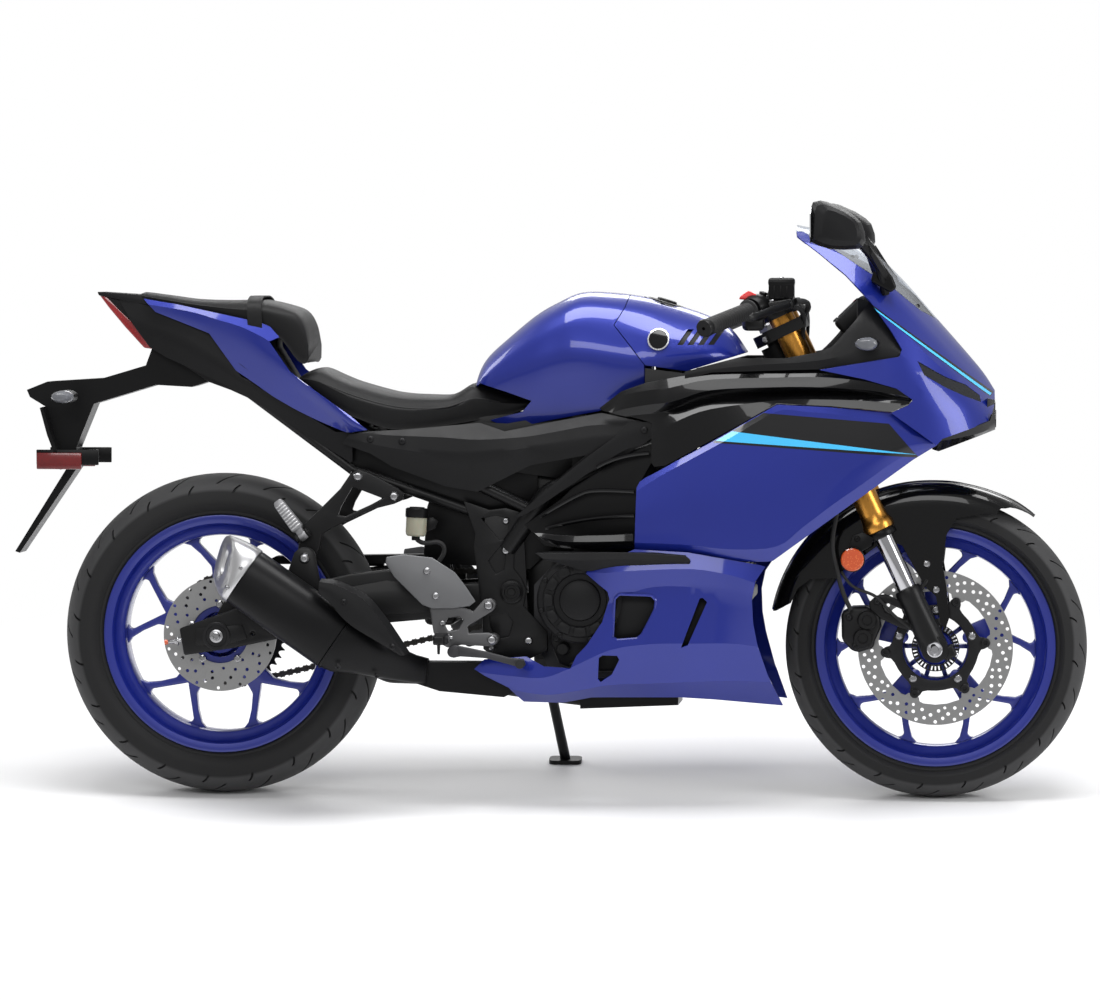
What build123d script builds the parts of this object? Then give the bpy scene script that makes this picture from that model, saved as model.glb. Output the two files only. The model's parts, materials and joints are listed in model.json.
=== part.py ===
"""Sport motorcycle standing on its side stand.

The machine is modelled upright in its own frame, in millimetres: +X forward from the rear axle, +Y to the
rider's left, +Z up from the ground.  At the end every piece is leaned over onto the side stand and shifted so
that the origin is the centre of the footprint, on the ground.
"""
from build123d import *
from math import cos, hypot, radians, sin, tan
import os

# ---------------------------------------------------------------- driving dimensions
wheelbase = 1385.0
rear_tyre_width = 140.0
front_tyre_width = 110.0
rear_rim_width = 102.0        # between the flanges, 4.00 inch
front_rim_width = 70.0        # between the flanges, 2.75 inch
rim_flange_radius = 231.0     # 17 inch rim over its flanges
rear_tyre_radius = rim_flange_radius + 80.0
front_tyre_radius = rim_flange_radius + 60.0
caster = 25.0
fork_offset = 37.0            # from the steering axis forward to the fork legs
fork_spacing = 190.0          # between the legs' centre lines
lean = 9.0                    # degrees to the left on the side stand
axle_clearance = 0.05         # radial running clearance of every spindle in its bore
seat_gap = 0.3                # between pieces that only rest on each other
hanger_face = 126.0           # outer face of the pillion footrests' hangers

# The chassis carries the steering axis.  The fork legs reach from it down to the front axle, and the swing arm
# reaches back to the rear axle, so that a change of tyre or wheelbase lengthens the legs or the arm.
drawn_rear_axle = Vector(0, 0, 311)
drawn_front_axle = Vector(1385, 0, 291)
front_drop = (drawn_front_axle.Z - front_tyre_radius) / cos(radians(caster))     # along the legs
front_axle = Vector(drawn_front_axle.X + front_drop * sin(radians(caster)), 0, front_tyre_radius)
rear_axle = Vector(front_axle.X - wheelbase, 0, rear_tyre_radius)
steer_up = Vector(-sin(radians(caster)), 0, cos(radians(caster)))
steer_back = Vector(-cos(radians(caster)), 0, -sin(radians(caster)))
steer_foot = drawn_front_axle + steer_back * fork_offset


def on_steering(s):
    """Point of the steering axis, s millimetres up from the foot of the perpendicular through the axle."""
    return steer_foot + steer_up * s


def on_leg(s, side):
    """Point of a fork leg's centre line, s millimetres up from the drawn axle; side is -1 right, +1 left."""
    return drawn_front_axle + steer_up * s + Vector(0, side * fork_spacing / 2, 0)


def by_axle(axle, drawn, outline):
    """Side-view points carried along with an axle from where it was drawn."""
    return [(x + axle.X - drawn.X, z + axle.Z - drawn.Z) for x, z in outline]


def by_front(*outline):
    return by_axle(front_axle, drawn_front_axle, outline)


def by_rear(*outline):
    return by_axle(rear_axle, drawn_rear_axle, outline)


# ---------------------------------------------------------------- helpers that draw inside the open BuildPart
def grown(outline, amount):
    """Closed outline with every edge moved outwards by amount, corners kept sharp."""
    corners = [Vector(*point) for point in outline]
    area = sum(a.X * b.Y - b.X * a.Y for a, b in zip(corners, corners[1:] + corners[:1]))
    shift = amount if area > 0 else -amount
    moved = []
    for before, corner, after in zip(corners[-1:] + corners[:-1], corners, corners[1:] + corners[:1]):
        arrive, leave = (corner - before).normalized(), (after - corner).normalized()
        normal = Vector(arrive.Y + leave.Y, -arrive.X - leave.X)
        normal = normal * (2 / max(normal.length ** 2, 0.5))
        moved.append((corner.X + shift * normal.X, corner.Y + shift * normal.Y))
    return moved


def slab(outline, y_from, y_to, mode=Mode.ADD, grow=0.0):
    """Side-view outline of (x, z) points, grown all round, extruded across from y_from to y_to."""
    with BuildSketch(Plane.XZ.offset(-y_from)) as face:
        with BuildLine():
            Polyline(*(grown(outline, grow) if grow else outline), close=True)
        make_face()
    extrude(face.sketch, amount=y_from - y_to, mode=mode)


def rod(start, end, radius, mode=Mode.ADD):
    """Round bar between two points."""
    start, end = Vector(*start), Vector(*end)
    with BuildSketch(Plane(origin=start, z_dir=end - start)) as face:
        Circle(radius)
    extrude(face.sketch, amount=(end - start).length, mode=mode)


def cross_rod(x, z, y_from, y_to, radius, mode=Mode.ADD):
    """Round bar across the machine at (x, z)."""
    rod((x, y_from, z), (x, y_to, z), radius, mode)


def bar(start, end, width, height, side=(0, 1, 0), mode=Mode.ADD):
    """Rectangular bar between two points; width lies along side."""
    start, end = Vector(*start), Vector(*end)
    with BuildSketch(Plane(origin=start, x_dir=Vector(*side), z_dir=end - start)) as face:
        Rectangle(width, height)
    extrude(face.sketch, amount=(end - start).length, mode=mode)


def bent_tube(points, radius, bends):
    """Round tube along straight runs joined by arcs."""
    with BuildLine() as route:
        FilletPolyline(*points, radius=bends)
    with BuildSketch(Plane(origin=route.line @ 0, z_dir=route.line % 0)) as face:
        Circle(radius)
    sweep(face.sketch, path=route.line)


def block(x_range, y_range, z_range, mode=Mode.ADD):
    """Box given by its ranges."""
    (x0, x1), (y0, y1), (z0, z1) = x_range, y_range, z_range
    slab([(x0, z0), (x1, z0), (x1, z1), (x0, z1)], y0, y1, mode)


def loft_sections(sections, mode=Mode.ADD):
    """Ruled loft through closed sections, each given as x and its (y, z) outline."""
    faces = []
    for x, outline in sections:
        with BuildSketch(Plane.YZ.offset(x)) as face:
            with BuildLine():
                Polyline(*outline, close=True)
            make_face()
        faces.append(face.sketch.faces()[0])
    loft(faces, ruled=True, mode=mode)


def side_skin(rows, wall):
    """Thin right-hand skin: rows of x and the skin's (y, z) points from top to bottom."""
    loft_sections([(x, [*points, *[(y + wall, z) for y, z in reversed(points)]]) for x, *points in rows])


def arch_skin(rows, wall, grow=0.0):
    """Thin arched skin over the centre line: rows of x and the right half's (y, z) points from the top down."""
    sections = []
    for x, *half in rows:
        outer = [(y - grow if y else 0, z + grow) for y, z in half]
        inner = [(y + wall if y else 0, z - wall) for y, z in half]
        inner[-1] = (inner[-1][0], half[-1][1])
        outer[-1] = (outer[-1][0], half[-1][1])
        right_to_left = [*reversed(outer), *[(-y, z) for y, z in outer[1:]]]
        back = [*reversed([(-y, z) for y, z in inner[1:]]), *inner]
        sections.append((x, right_to_left + back))
    loft_sections(sections)


def arch_solid(rows, grow, mode):
    """Everything under an arched skin, grown outwards."""
    sections = []
    for x, *half in rows:
        right = [(y - grow if y else 0, z + grow) for y, z in half]
        sections.append((x, [*reversed(right), *[(-y, z) for y, z in right[1:]]]))
    loft_sections(sections, mode)


def both_sides():
    """Add the mirror image on the other side of the machine."""
    mirror(about=Plane.XZ)


pieces = {}                   # node name to its BuildPart, in the order they are made


def keep(name, piece):
    pieces[name] = piece


# ---------------------------------------------------------------- wheels
window_count = 5
window_start = 18.0           # direction of the first small window
spoke_window_radius = rim_flange_radius - 40   # inner face of the rim as seen from the side
bead_radius = rim_flange_radius - 12
hub_ring_radius = 76.0


def rim_and_spokes(axle, rim_width, hub, bore_radius, spoke_thickness):
    """Cast wheel: rim, ten thin arms in five pairs, hub.  hub rows are radius, y from, y to."""
    half = rim_width / 2
    flange = 4.0
    well = spoke_window_radius + 15
    with BuildSketch(Plane(origin=axle, x_dir=(1, 0, 0), z_dir=(0, 0, 1))) as section:
        with BuildLine():
            Polyline(
                (rim_flange_radius, -half - flange), (rim_flange_radius, -half), (bead_radius, -half),
                (bead_radius, -half + 13), (well, -half + 21), (well, half - 21), (bead_radius, half - 13),
                (bead_radius, half),
                (rim_flange_radius, half), (rim_flange_radius, half + flange), (bead_radius - 6, half + flange),
                (spoke_window_radius, half - 14), (spoke_window_radius, -half + 14), (bead_radius - 6, -half - flange),
                close=True)
        make_face()
    revolve(section.sketch, axis=Axis(axle, (0, 1, 0)))
    with BuildSketch(Plane.XZ.offset(-spoke_thickness / 2)) as web:
        with Locations((axle.X, axle.Z)):
            Circle(spoke_window_radius + 6)
    extrude(web.sketch, amount=spoke_thickness)
    for radius, y_from, y_to in hub:
        cross_rod(axle.X, axle.Z, y_from, y_to, radius)
    with BuildSketch(Plane.XZ.offset(-spoke_thickness)) as windows:
        with Locations((axle.X, axle.Z)):
            with PolarLocations(0, window_count, start_angle=window_start):
                with BuildSketch(mode=Mode.PRIVATE) as small:
                    with BuildLine():
                        far = spoke_window_radius
                        polar_outline([(far - 69, 0), (far - 7, 17.5), (far, 15.5), (far, -15.5), (far - 7, -17.5)])
                    make_face()
                    fillet(small.vertices(), radius=4)
                add(small.sketch)
            with PolarLocations(0, window_count, start_angle=window_start + 36):
                with BuildSketch(mode=Mode.PRIVATE) as large:
                    with BuildLine():
                        near = hub_ring_radius + 2
                        polar_outline([(near, 22), (far - 58, 25), (far, 12.6), (far, -12.6), (far - 58, -25),
                                       (near, -22)])
                    make_face()
                    fillet(large.vertices(), radius=4)
                add(large.sketch)
    extrude(windows.sketch, amount=2 * spoke_thickness, mode=Mode.SUBTRACT)
    cross_rod(axle.X, axle.Z, hub[0][1] - 50, hub[0][2] + 50, bore_radius, Mode.SUBTRACT)


def polar_outline(corners):
    """Closed outline of (radius, degrees) corners."""
    Polyline(*[(r * cos(radians(a)), r * sin(radians(a))) for r, a in corners], close=True)


def tyre(axle, radius, width, rim_width):
    """Hollow tyre with a round crown, its beads just inside the rim's flanges."""
    half, rim_half = width / 2, rim_width / 2 - seat_gap
    wide = radius - 0.35 * width               # radius at which the tyre is widest
    bead = bead_radius + seat_gap
    wall = 8.0
    over_flange = rim_flange_radius + 1.5
    with BuildSketch(Plane(origin=axle, x_dir=(1, 0, 0), z_dir=(0, 0, 1))) as section:
        with BuildLine():
            ThreePointArc((wide, -half), (radius, 0), (wide, half))
            Polyline((wide, half), (over_flange, rim_half + 8), (over_flange, rim_half), (bead, rim_half),
                     (bead, rim_half - 11), (over_flange, rim_half - wall), (wide, half - wall))
            ThreePointArc((wide, half - wall), (radius - wall, 0), (wide, wall - half))
            Polyline((wide, wall - half), (over_flange, wall - rim_half), (bead, 11 - rim_half),
                     (bead, -rim_half), (over_flange, -rim_half), (over_flange, -rim_half - 8), (wide, -half))
        make_face()
    revolve(section.sketch, axis=Axis(axle, (0, 1, 0)))


front_axle_radius = 12.5
rear_axle_radius = 10.0
front_hub_half = 56.0
rear_hub_half = 74.0
front_disc_y = -58.0
rear_disc_y = -78.0
disc_thickness = 4.5
sprocket_y = 86.0
sprocket_thickness = 6.0

with BuildPart() as front_wheel:
    rim_and_spokes(front_axle, front_rim_width,
                   [(34, -front_hub_half + 1, front_hub_half), (hub_ring_radius, -40, 22)],
                   front_axle_radius + axle_clearance, 26)
    with BuildSketch(Plane.XZ.offset(40)) as seats:
        with Locations((front_axle.X, front_axle.Z)):
            with PolarLocations(66, window_count, start_angle=window_start):
                Circle(11)
    extrude(seats.sketch, amount=-front_disc_y - disc_thickness / 2 - 40)
keep("front_wheel", front_wheel)

with BuildPart() as rear_wheel:
    rim_and_spokes(rear_axle, rear_rim_width,
                   [(40, rear_disc_y + disc_thickness / 2, sprocket_y - sprocket_thickness / 2),
                    (hub_ring_radius, -30, 30)],
                   rear_axle_radius + axle_clearance, 30)
    cross_rod(rear_axle.X, rear_axle.Z, rear_disc_y + disc_thickness / 2, -60, 66)
    cross_rod(rear_axle.X, rear_axle.Z, 56, sprocket_y - sprocket_thickness / 2, 72)
    cross_rod(rear_axle.X, rear_axle.Z, rear_disc_y - 20, sprocket_y + 20, rear_axle_radius + axle_clearance,
              Mode.SUBTRACT)
keep("rear_wheel", rear_wheel)

for name, axle, radius, width, rim_width in (
        ("front_tyre", front_axle, front_tyre_radius, front_tyre_width, front_rim_width),
        ("rear_tyre", rear_axle, rear_tyre_radius, rear_tyre_width, rear_rim_width)):
    with BuildPart() as rubber:
        tyre(axle, radius, width, rim_width)
    keep(name, rubber)


def ring(axle, y, thickness, outer, inner):
    """Flat ring round an axle, centred on y."""
    with BuildSketch(Plane.XZ.offset(-y - thickness / 2)) as face:
        with Locations((axle.X, axle.Z)):
            Circle(outer)
            Circle(inner, mode=Mode.SUBTRACT)
    extrude(face.sketch, amount=thickness)


with BuildPart() as front_disc:
    ring(front_axle, front_disc_y, disc_thickness, 149, 113)
    ring(front_axle, front_disc_y, disc_thickness, 90, 60)
    with BuildSketch(Plane.XZ.offset(-front_disc_y - disc_thickness / 2)) as arms:
        with Locations((front_axle.X, front_axle.Z)):
            with PolarLocations(102, 6, start_angle=5.8):
                Rectangle(30, 16)
    extrude(arms.sketch, amount=disc_thickness)
keep("front_disc", front_disc)

with BuildPart() as rear_disc:
    ring(rear_axle, rear_disc_y, disc_thickness, 110, 44)
keep("rear_disc", rear_disc)

tooth_count = 43
chain_pitch = 15.875
sprocket_radius = chain_pitch / 2 / sin(radians(180 / tooth_count))
front_tooth_count = 14
front_sprocket_radius = chain_pitch / 2 / sin(radians(180 / front_tooth_count))
front_sprocket = (650.0, 395.0)

with BuildPart() as rear_sprocket:
    ring(rear_axle, sprocket_y, sprocket_thickness, sprocket_radius - 4, 46)
    with BuildSketch(Plane.XZ.offset(-sprocket_y - sprocket_thickness / 2)) as teeth:
        with Locations((rear_axle.X, rear_axle.Z)):
            with PolarLocations(sprocket_radius - 2, tooth_count):
                Rectangle(12, 7)
    extrude(teeth.sketch, amount=sprocket_thickness)
    with BuildSketch(Plane.XZ.offset(-sprocket_y - sprocket_thickness / 2)) as windows:
        with Locations((rear_axle.X, rear_axle.Z)):
            with PolarLocations(88, 6):
                Circle(9)
    extrude(windows.sketch, amount=sprocket_thickness, mode=Mode.SUBTRACT)
keep("rear_sprocket", rear_sprocket)

# ---------------------------------------------------------------- swing arm and rear axle
pivot = (571.0, 398.0)
arm_inner = 103.0
arm_outer = 128.0
spool = by_rear((70.0, 316.0))[0]     # tapped holes in the arm for a workshop stand's bobbins
thread_radius = 3.4           # M8 tapping drill
thread_depth = 18.0
plate_inner = 98.0            # frame's pivot plates
plate_outer = 110.0
pivot_radius = 10.0

with BuildPart() as swing_arm:
    for side in (-1, 1):
        slab([*by_rear((-73, 325), (-64, 273), (29, 287), (115, 305)), (300, 335), (462, 350), (462, 425), (330, 440),
              (197, 418), *by_rear((41, 366))], side * arm_inner, side * arm_outer)
        slab([(440, 340), (571, 379), (571, 416), (440, 410)], side * 58, side * (plate_inner - seat_gap))
    block((400, 462), (-arm_inner, arm_inner), (332, 410))
    cross_rod(*pivot, -plate_inner + seat_gap, plate_inner - seat_gap, 20)
    slab([(400, 410), (446, 410), (436, 486), (420, 486)], -24, -14)
    slab([(400, 410), (446, 410), (436, 486), (420, 486)], 14, 24)
    cross_rod(*pivot, -plate_outer - 14, plate_outer + 14, pivot_radius)
    cross_rod(rear_axle.X, rear_axle.Z, -arm_outer - 1, arm_outer + 1, rear_axle_radius + axle_clearance,
              Mode.SUBTRACT)
    for side in (-1, 1):
        cross_rod(*spool, side * (arm_outer - thread_depth), side * (arm_outer + 1), thread_radius,
                  Mode.SUBTRACT)
keep("swing_arm", swing_arm)

with BuildPart() as rear_spindle:
    cross_rod(rear_axle.X, rear_axle.Z, -arm_outer - 22, arm_outer + 18, rear_axle_radius)
    for side in (-1, 1):
        cross_rod(rear_axle.X, rear_axle.Z, side * (arm_outer + seat_gap), side * (arm_outer + 14), 16)
    cross_rod(rear_axle.X, rear_axle.Z, rear_disc_y - 4, -arm_inner + seat_gap, 17)
    cross_rod(rear_axle.X, rear_axle.Z, sprocket_y + 5, arm_inner - seat_gap, 17)
keep("rear_spindle", rear_spindle)

# ---------------------------------------------------------------- side stand's pivot
stand_pivot = Vector(612, 128, 262)
stand_axis = Vector(0, 0.9, 0.436).normalized()
stand_pin = 6.0
stand_eye = 12.0              # thickness of the stand's eye along its pin

# ---------------------------------------------------------------- frame
head_from, head_to = 536.0, 660.0
head_radius = 29.0
stem_radius = 14.0
main_tube_radius = 18.0
rail_radius = 12.0
down_tube_radius = 15.0
rail_cross_radius = 10.0

with BuildPart() as frame:
    rod(on_steering(head_from), on_steering(head_to), head_radius)
    for side in (-1, 1):
        bent_tube([(1105, side * 22, 812), (905, side * 116, 700), (640, side * 116, 590),
                   (562, side * 104, 480)], main_tube_radius, [90, 60])
        rod((1107, side * 12, 795), (955, side * 74, 682), down_tube_radius)
        rod((955, side * 74, 682), (905, side * 116, 700), 13)
        slab([(528, 548), (592, 548), (598, 440), (602, 345), (640, 318), (640, 284), (578, 262), (540, 262),
              (540, 340), (534, 430)], side * plate_inner, side * plate_outer)
        slab([(876, 694), (926, 700), (902, 622), (872, 622)], side * plate_inner, side * (plate_inner + 8))
        rod((600, side * 105, 560), (300, side * 98, 700), rail_radius)
        rod((300, side * 98, 700), (-60, side * 62, 850), rail_radius)
        rod((545, side * 98, 535), (262, side * 93, 632), 11)
        rod((262, side * 93, 632), (60, side * 78, 780), 11)
        slab([(688, 612), (714, 622), (714, 740.5), (688, 736.5)], side * 104, side * 112)
        slab([(878, 690), (898, 698), (898, 824), (878, 826.5)], side * 106, side * 114)
    cross_rod(560, 480, -104, 104, 20)
    cross_rod(300, 700, -98, 98, rail_cross_radius)
    cross_rod(-50, 846, -62, 62, rail_cross_radius)
    cross_rod(572, 285, -104, 104, 13)
    slab([(500, 600), (540, 560), (575, 500), (545, 470), (500, 520), (482, 580)], -14, -24)
    slab([(500, 600), (540, 560), (575, 500), (545, 470), (500, 520), (482, 580)], 14, 24)
    bar((606, plate_outer - 6, 294), (612, stand_pivot.Y - 19, 256), 12, 24)
    rod(stand_pivot - stand_axis * 19, stand_pivot - stand_axis * (stand_eye / 2 + seat_gap), 17)
    rod(stand_pivot - stand_axis * 15, stand_pivot + stand_axis * (stand_eye / 2 + 4), stand_pin)
    rod(on_steering(head_from - 1), on_steering(head_to + 1), stem_radius + axle_clearance, Mode.SUBTRACT)
    cross_rod(*pivot, -plate_outer - 1, plate_outer + 1, pivot_radius + axle_clearance, Mode.SUBTRACT)
keep("frame", frame)

with BuildPart() as rear_shock:
    lower_eye, upper_eye = Vector(428, 0, 486), Vector(494, 0, 592)
    along = (upper_eye - lower_eye).normalized()
    rod(lower_eye, upper_eye, 14)
    cross_rod(lower_eye.X, lower_eye.Z, -13, 13, 15)
    cross_rod(upper_eye.X, upper_eye.Z, -13.5, 13.5, 15)
keep("rear_shock", rear_shock)

# ---------------------------------------------------------------- engine
case_half = 112.0
clutch = (708.0, 386.0)
generator = (772.0, 342.0)
case_side = 72.0              # crankcase's machined sides, behind the covers

with BuildPart() as engine:
    slab([(612, 300), (640, 250), (700, 232), (850, 232), (915, 280), (920, 380), (905, 425), (880, 440),
          (640, 440), (612, 410)], -case_half + 26, case_side)
    slab([(690, 420), (868, 420), (925, 600), (905, 660), (800, 668), (742, 612)], -84, 84)
    slab([(640, 440), (700, 520), (745, 520), (720, 420)], -60, 60)
    cross_rod(625, 300, -plate_inner + seat_gap, plate_inner - seat_gap, 14)
    cross_rod(886, 640, -plate_inner + seat_gap, plate_inner - seat_gap, 12)
    cross_rod(*front_sprocket, case_side, sprocket_y + 9, 15)
    cross_rod(*front_sprocket, sprocket_y - sprocket_thickness / 2, sprocket_y + sprocket_thickness / 2,
              front_sprocket_radius - 5.5)
keep("engine", engine)

with BuildPart() as engine_covers:
    slab([(648, 420), (648, 300), (665, 260), (700, 246), (850, 246), (900, 290), (900, 400), (800, 462),
          (700, 470)], -case_half + 26 - seat_gap, -140)
    cross_rod(*clutch, -140, -176, 84)
    cross_rod(*clutch, -176, -190, 76)
    cross_rod(672, 290, -140, -152, 13)
    slab([(712, 250), (850, 246), (900, 290), (900, 400), (820, 418), (712, 415)], case_side + seat_gap, 140)
    slab([(606, 380), (606, 425), (630, 445), (690, 440), (720, 430), (720, 345), (630, 345)],
         sprocket_y + 13, sprocket_y + 24)
    cross_rod(*generator, 140, 156, 62)
keep("engine_covers", engine_covers)

with BuildPart() as radiator:
    block((992, 1028), (-160, 160), (400, 640))
    block((988, 1032), (-160, 160), (636, 662))
    block((988, 1032), (-160, 160), (380, 402))
    for side in (-1, 1):
        block((1000, 1014), (side * 46, side * 62), (660, 716))
        rod((1107, side * 12, 795), (955, side * 74, 682), down_tube_radius + seat_gap, Mode.SUBTRACT)
keep("radiator", radiator)

# ---------------------------------------------------------------- exhaust
silencer_height, silencer_width = 117.0, 104.0
silencer_front = Vector(247, -212, 303)
silencer_rear = Vector(66, -214, 430)
silencer_axis = (silencer_rear - silencer_front).normalized()
silencer_tip = silencer_rear + silencer_axis * 64
silencer_mouth = silencer_front + silencer_axis * 7

with BuildPart() as exhaust:
    for side in (-1, 1):
        bent_tube([(925.5, side * 50, 582), (960, side * 50, 580), (952, side * 48, 240), (860, side * 36, 196)],
                  17, [26, 50])
    slab([(700, 170), (890, 178), (890, 222), (700, 222)], -70, 70)
    bent_tube([(702, -40, 198), (640, -40, 205), (560, -100, 222)], 24, [60])
    slab([(376, 224), (432, 206), (557, 195), (574, 204), (574, 262), (376, 262)], -64, -122)
    bent_tube([(400, -100, 240), (340, -160, 246), tuple(silencer_mouth - silencer_axis * 35),
               tuple(silencer_mouth - silencer_axis * seat_gap)], 22, [60, 40])
keep("exhaust", exhaust)


def oval_along(start, end, height, width, mode=Mode.ADD):
    """Rounded bar of upright oval section."""
    start, end = Vector(*start), Vector(*end)
    with BuildSketch(Plane(origin=start, x_dir=(0, 1, 0), z_dir=end - start)) as face:
        RectangleRounded(width, height, width * 0.42)
    extrude(face.sketch, amount=(end - start).length, mode=mode)


with BuildPart() as silencer:
    oval_along(silencer_mouth, silencer_rear, silencer_height, silencer_width)
    slab([(166, 490), (190, 490), (206, 390), (150, 410)], -182, -190)
    cross_rod(179, 478, -hanger_face - seat_gap, -182, 7)
keep("silencer", silencer)

with BuildPart() as silencer_cap:
    oval_along(silencer_rear + silencer_axis * seat_gap, silencer_tip, silencer_height + 1, silencer_width + 1)
keep("silencer_cap", silencer_cap)

with BuildPart() as heat_shield:
    slab([(216, 422), (250, 414), (318, 360), (385, 286), (272, 345), (243, 378), (214, 400)], -266, -269)
    cross_rod(222, 402, -230, -267, 5)
    cross_rod(250, 374, -230, -267, 5)
    oval_along(silencer_mouth, silencer_rear, silencer_height + 2 * seat_gap, silencer_width + 2 * seat_gap,
               Mode.SUBTRACT)
keep("heat_shield", heat_shield)

# ---------------------------------------------------------------- chain
chain_half_gap = 6.0
plate_thickness = 2.0
link_half_height = 7.5


def chain_loop(offset):
    """Outline of the chain's run round both sprockets, offset outwards from the pitch line."""
    rear = Vector(rear_axle.X, rear_axle.Z)
    front = Vector(*front_sprocket)
    r, s = sprocket_radius + offset, front_sprocket_radius + offset
    with BuildSketch(Plane.XZ.offset(0), mode=Mode.PRIVATE) as loop:
        with Locations((rear.X, rear.Y)):
            Circle(r)
        with Locations((front.X, front.Y)):
            Circle(s)
        gap = front - rear
        base = gap.get_signed_angle(Vector(1, 0, 0))
        heading = -radians(base)
        spread = (r - s) / gap.length
        up = Vector(-sin(heading), cos(heading))
        along = Vector(cos(heading), sin(heading))
        across = (1 - spread ** 2) ** 0.5
        with BuildLine():
            Polyline(*[(p.X, p.Y) for p in (
                rear + (along * spread + up * across) * r, front + (along * spread + up * across) * s,
                front + (along * spread - up * across) * s, rear + (along * spread - up * across) * r)],
                close=True)
        make_face()
    return loop.sketch


with BuildPart() as chain:
    outer, inner = chain_loop(link_half_height), chain_loop(-link_half_height)
    for y in (sprocket_y - chain_half_gap - plate_thickness, sprocket_y + chain_half_gap):
        with BuildSketch(Plane.XZ.offset(-y)) as band:
            add(outer)
            add(inner, mode=Mode.SUBTRACT)
        extrude(band.sketch, amount=-plate_thickness)
    for share in (0.28, 0.45, 0.62, 0.8):
        for sign in (-1, 1):
            x = rear_axle.X + share * (front_sprocket[0] - rear_axle.X)
            radius = sprocket_radius + (front_sprocket_radius - sprocket_radius) * share
            z = rear_axle.Z + (front_sprocket[1] - rear_axle.Z) * share + sign * radius * 1.006
            cross_rod(x, z, sprocket_y - chain_half_gap - 1, sprocket_y + chain_half_gap + 1, 5)
    for angle in (-60, -20, 20, 60):
        cross_rod(front_sprocket[0] + front_sprocket_radius * cos(radians(angle)),
                  front_sprocket[1] + front_sprocket_radius * sin(radians(angle)),
                  sprocket_y - chain_half_gap - 1, sprocket_y + chain_half_gap + 1, 5)
keep("chain", chain)

with BuildPart() as chain_guard:
    slab([*by_rear((90, 440)), (480, 444), (500, 452), (470, 462), *by_rear((90, 456), (50, 436), (56, 428))], 78, 116)
    slab([(270, 446), (300, 446), (300, 435.5), (270, 435.5)], 104, 116)
keep("chain_guard", chain_guard)

# ---------------------------------------------------------------- tank
tank_rows = [
    # x, then right-half outline from the top centre down: (y, z)
    (496, (0, 850), (-40, 840), (-66, 815), (-72, 800), (-70, 780), (-66, 700)),
    (600, (0, 926), (-55, 915), (-108, 865), (-118, 795), (-104, 740), (-92, 700)),
    (700, (0, 976), (-70, 962), (-132, 905), (-145, 835), (-128, 765), (-112, 700)),
    (800, (0, 969), (-75, 955), (-140, 902), (-150, 845), (-138, 785), (-120, 700)),
    (900, (0, 946), (-70, 930), (-126, 885), (-138, 855), (-130, 825), (-120, 700)),
    (1020, (0, 888), (-45, 875), (-82, 858), (-92, 845), (-92, 830), (-88, 700)),
]


def tank_body():
    loft_sections([(x, [*half, *[(-y, z) for y, z in reversed(half[1:])]]) for x, *half in tank_rows])


with BuildPart() as fuel_tank:
    tank_body()
    slab([(507, 799), (511, 845), (555, 884), (611, 931), (656, 957), (701, 975), (764, 970), (792, 967),
          (771, 912), (829, 836), (829, 785), (798, 771), (740, 747), (650, 730), (565, 712), (527, 728),
          (590, 744), (609, 766)], -200, 200, Mode.INTERSECT)
keep("fuel_tank", fuel_tank)

with BuildPart() as tank_cover:
    tank_body()
    slab([(794, 967), (824, 965), (882, 949), (947, 928), (986, 904), (1015, 861), (987, 848), (909, 824),
          (831, 834), (773.5, 912)], -200, 200, Mode.INTERSECT)
keep("tank_cover", tank_cover)

# ---------------------------------------------------------------- seats
rider_seat_rows = [(150, 118), (260, 132), (420, 118), (500, 84), (610, 70)]      # x, half width


def cushion(rows, outline, low, high, edge):
    """Seat: plan of half widths by x, cut to its side outline."""
    loft_sections([(x, [(-w, low), (-w, high - edge), (-w + edge, high), (w - edge, high), (w, high - edge),
                        (w, low)]) for x, w in rows])
    slab(outline, -200, 200, Mode.INTERSECT)


with BuildPart() as rider_seat:
    cushion(rider_seat_rows,
            [(163, 819), (198, 827), (265, 800), (326, 782), (400, 776), (451, 776), (487, 797), (506, 797),
             (606, 764), (588, 746), (525, 730), (398, 716), (302, 713), (264, 741), (172, 806)],
            690, 840, 1)
keep("rider_seat", rider_seat)

with BuildPart() as pillion_seat:
    cushion([(-170, 62), (0, 104), (120, 120), (180, 112)],
            [(-150, 975), (-47, 961), (18, 958), (63, 960), (89, 960), (155, 944), (170, 920), (177, 889),
             (174, 857), (166, 830), (150, 828), (110, 880), (128, 889), (109, 911), (85, 919),
             (-147, 967)], 800, 990, 1)
keep("pillion_seat", pillion_seat)

# ---------------------------------------------------------------- tail
tail_rows = [
    (-152, (-68, 990), (-66, 940), (-60, 880)),
    (0, (-112, 990), (-112, 880), (-100, 780)),
    (120, (-128, 990), (-134, 820), (-120, 700)),
    (265, (-134, 900), (-142, 740), (-132, 690)),
]

with BuildPart() as tail_panels:
    side_skin(tail_rows, 4)
    slab([(-150, 962), (83, 916), (104, 908), (122, 888), (103, 880), (143, 822), (170, 801), (262, 737),
          (262, 706), (230, 704), (48, 807), (35, 822), (-17, 895), (-125, 936)], 0, -200, Mode.INTERSECT)
    cross_rod(100, 786, -76, -129, 7)
    cross_rod(180, 754, -80, -134, 7)
    rod((300, -98, 700), (-60, -62, 850), rail_radius + seat_gap, Mode.SUBTRACT)
    both_sides()
keep("tail_panels", tail_panels)

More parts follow.
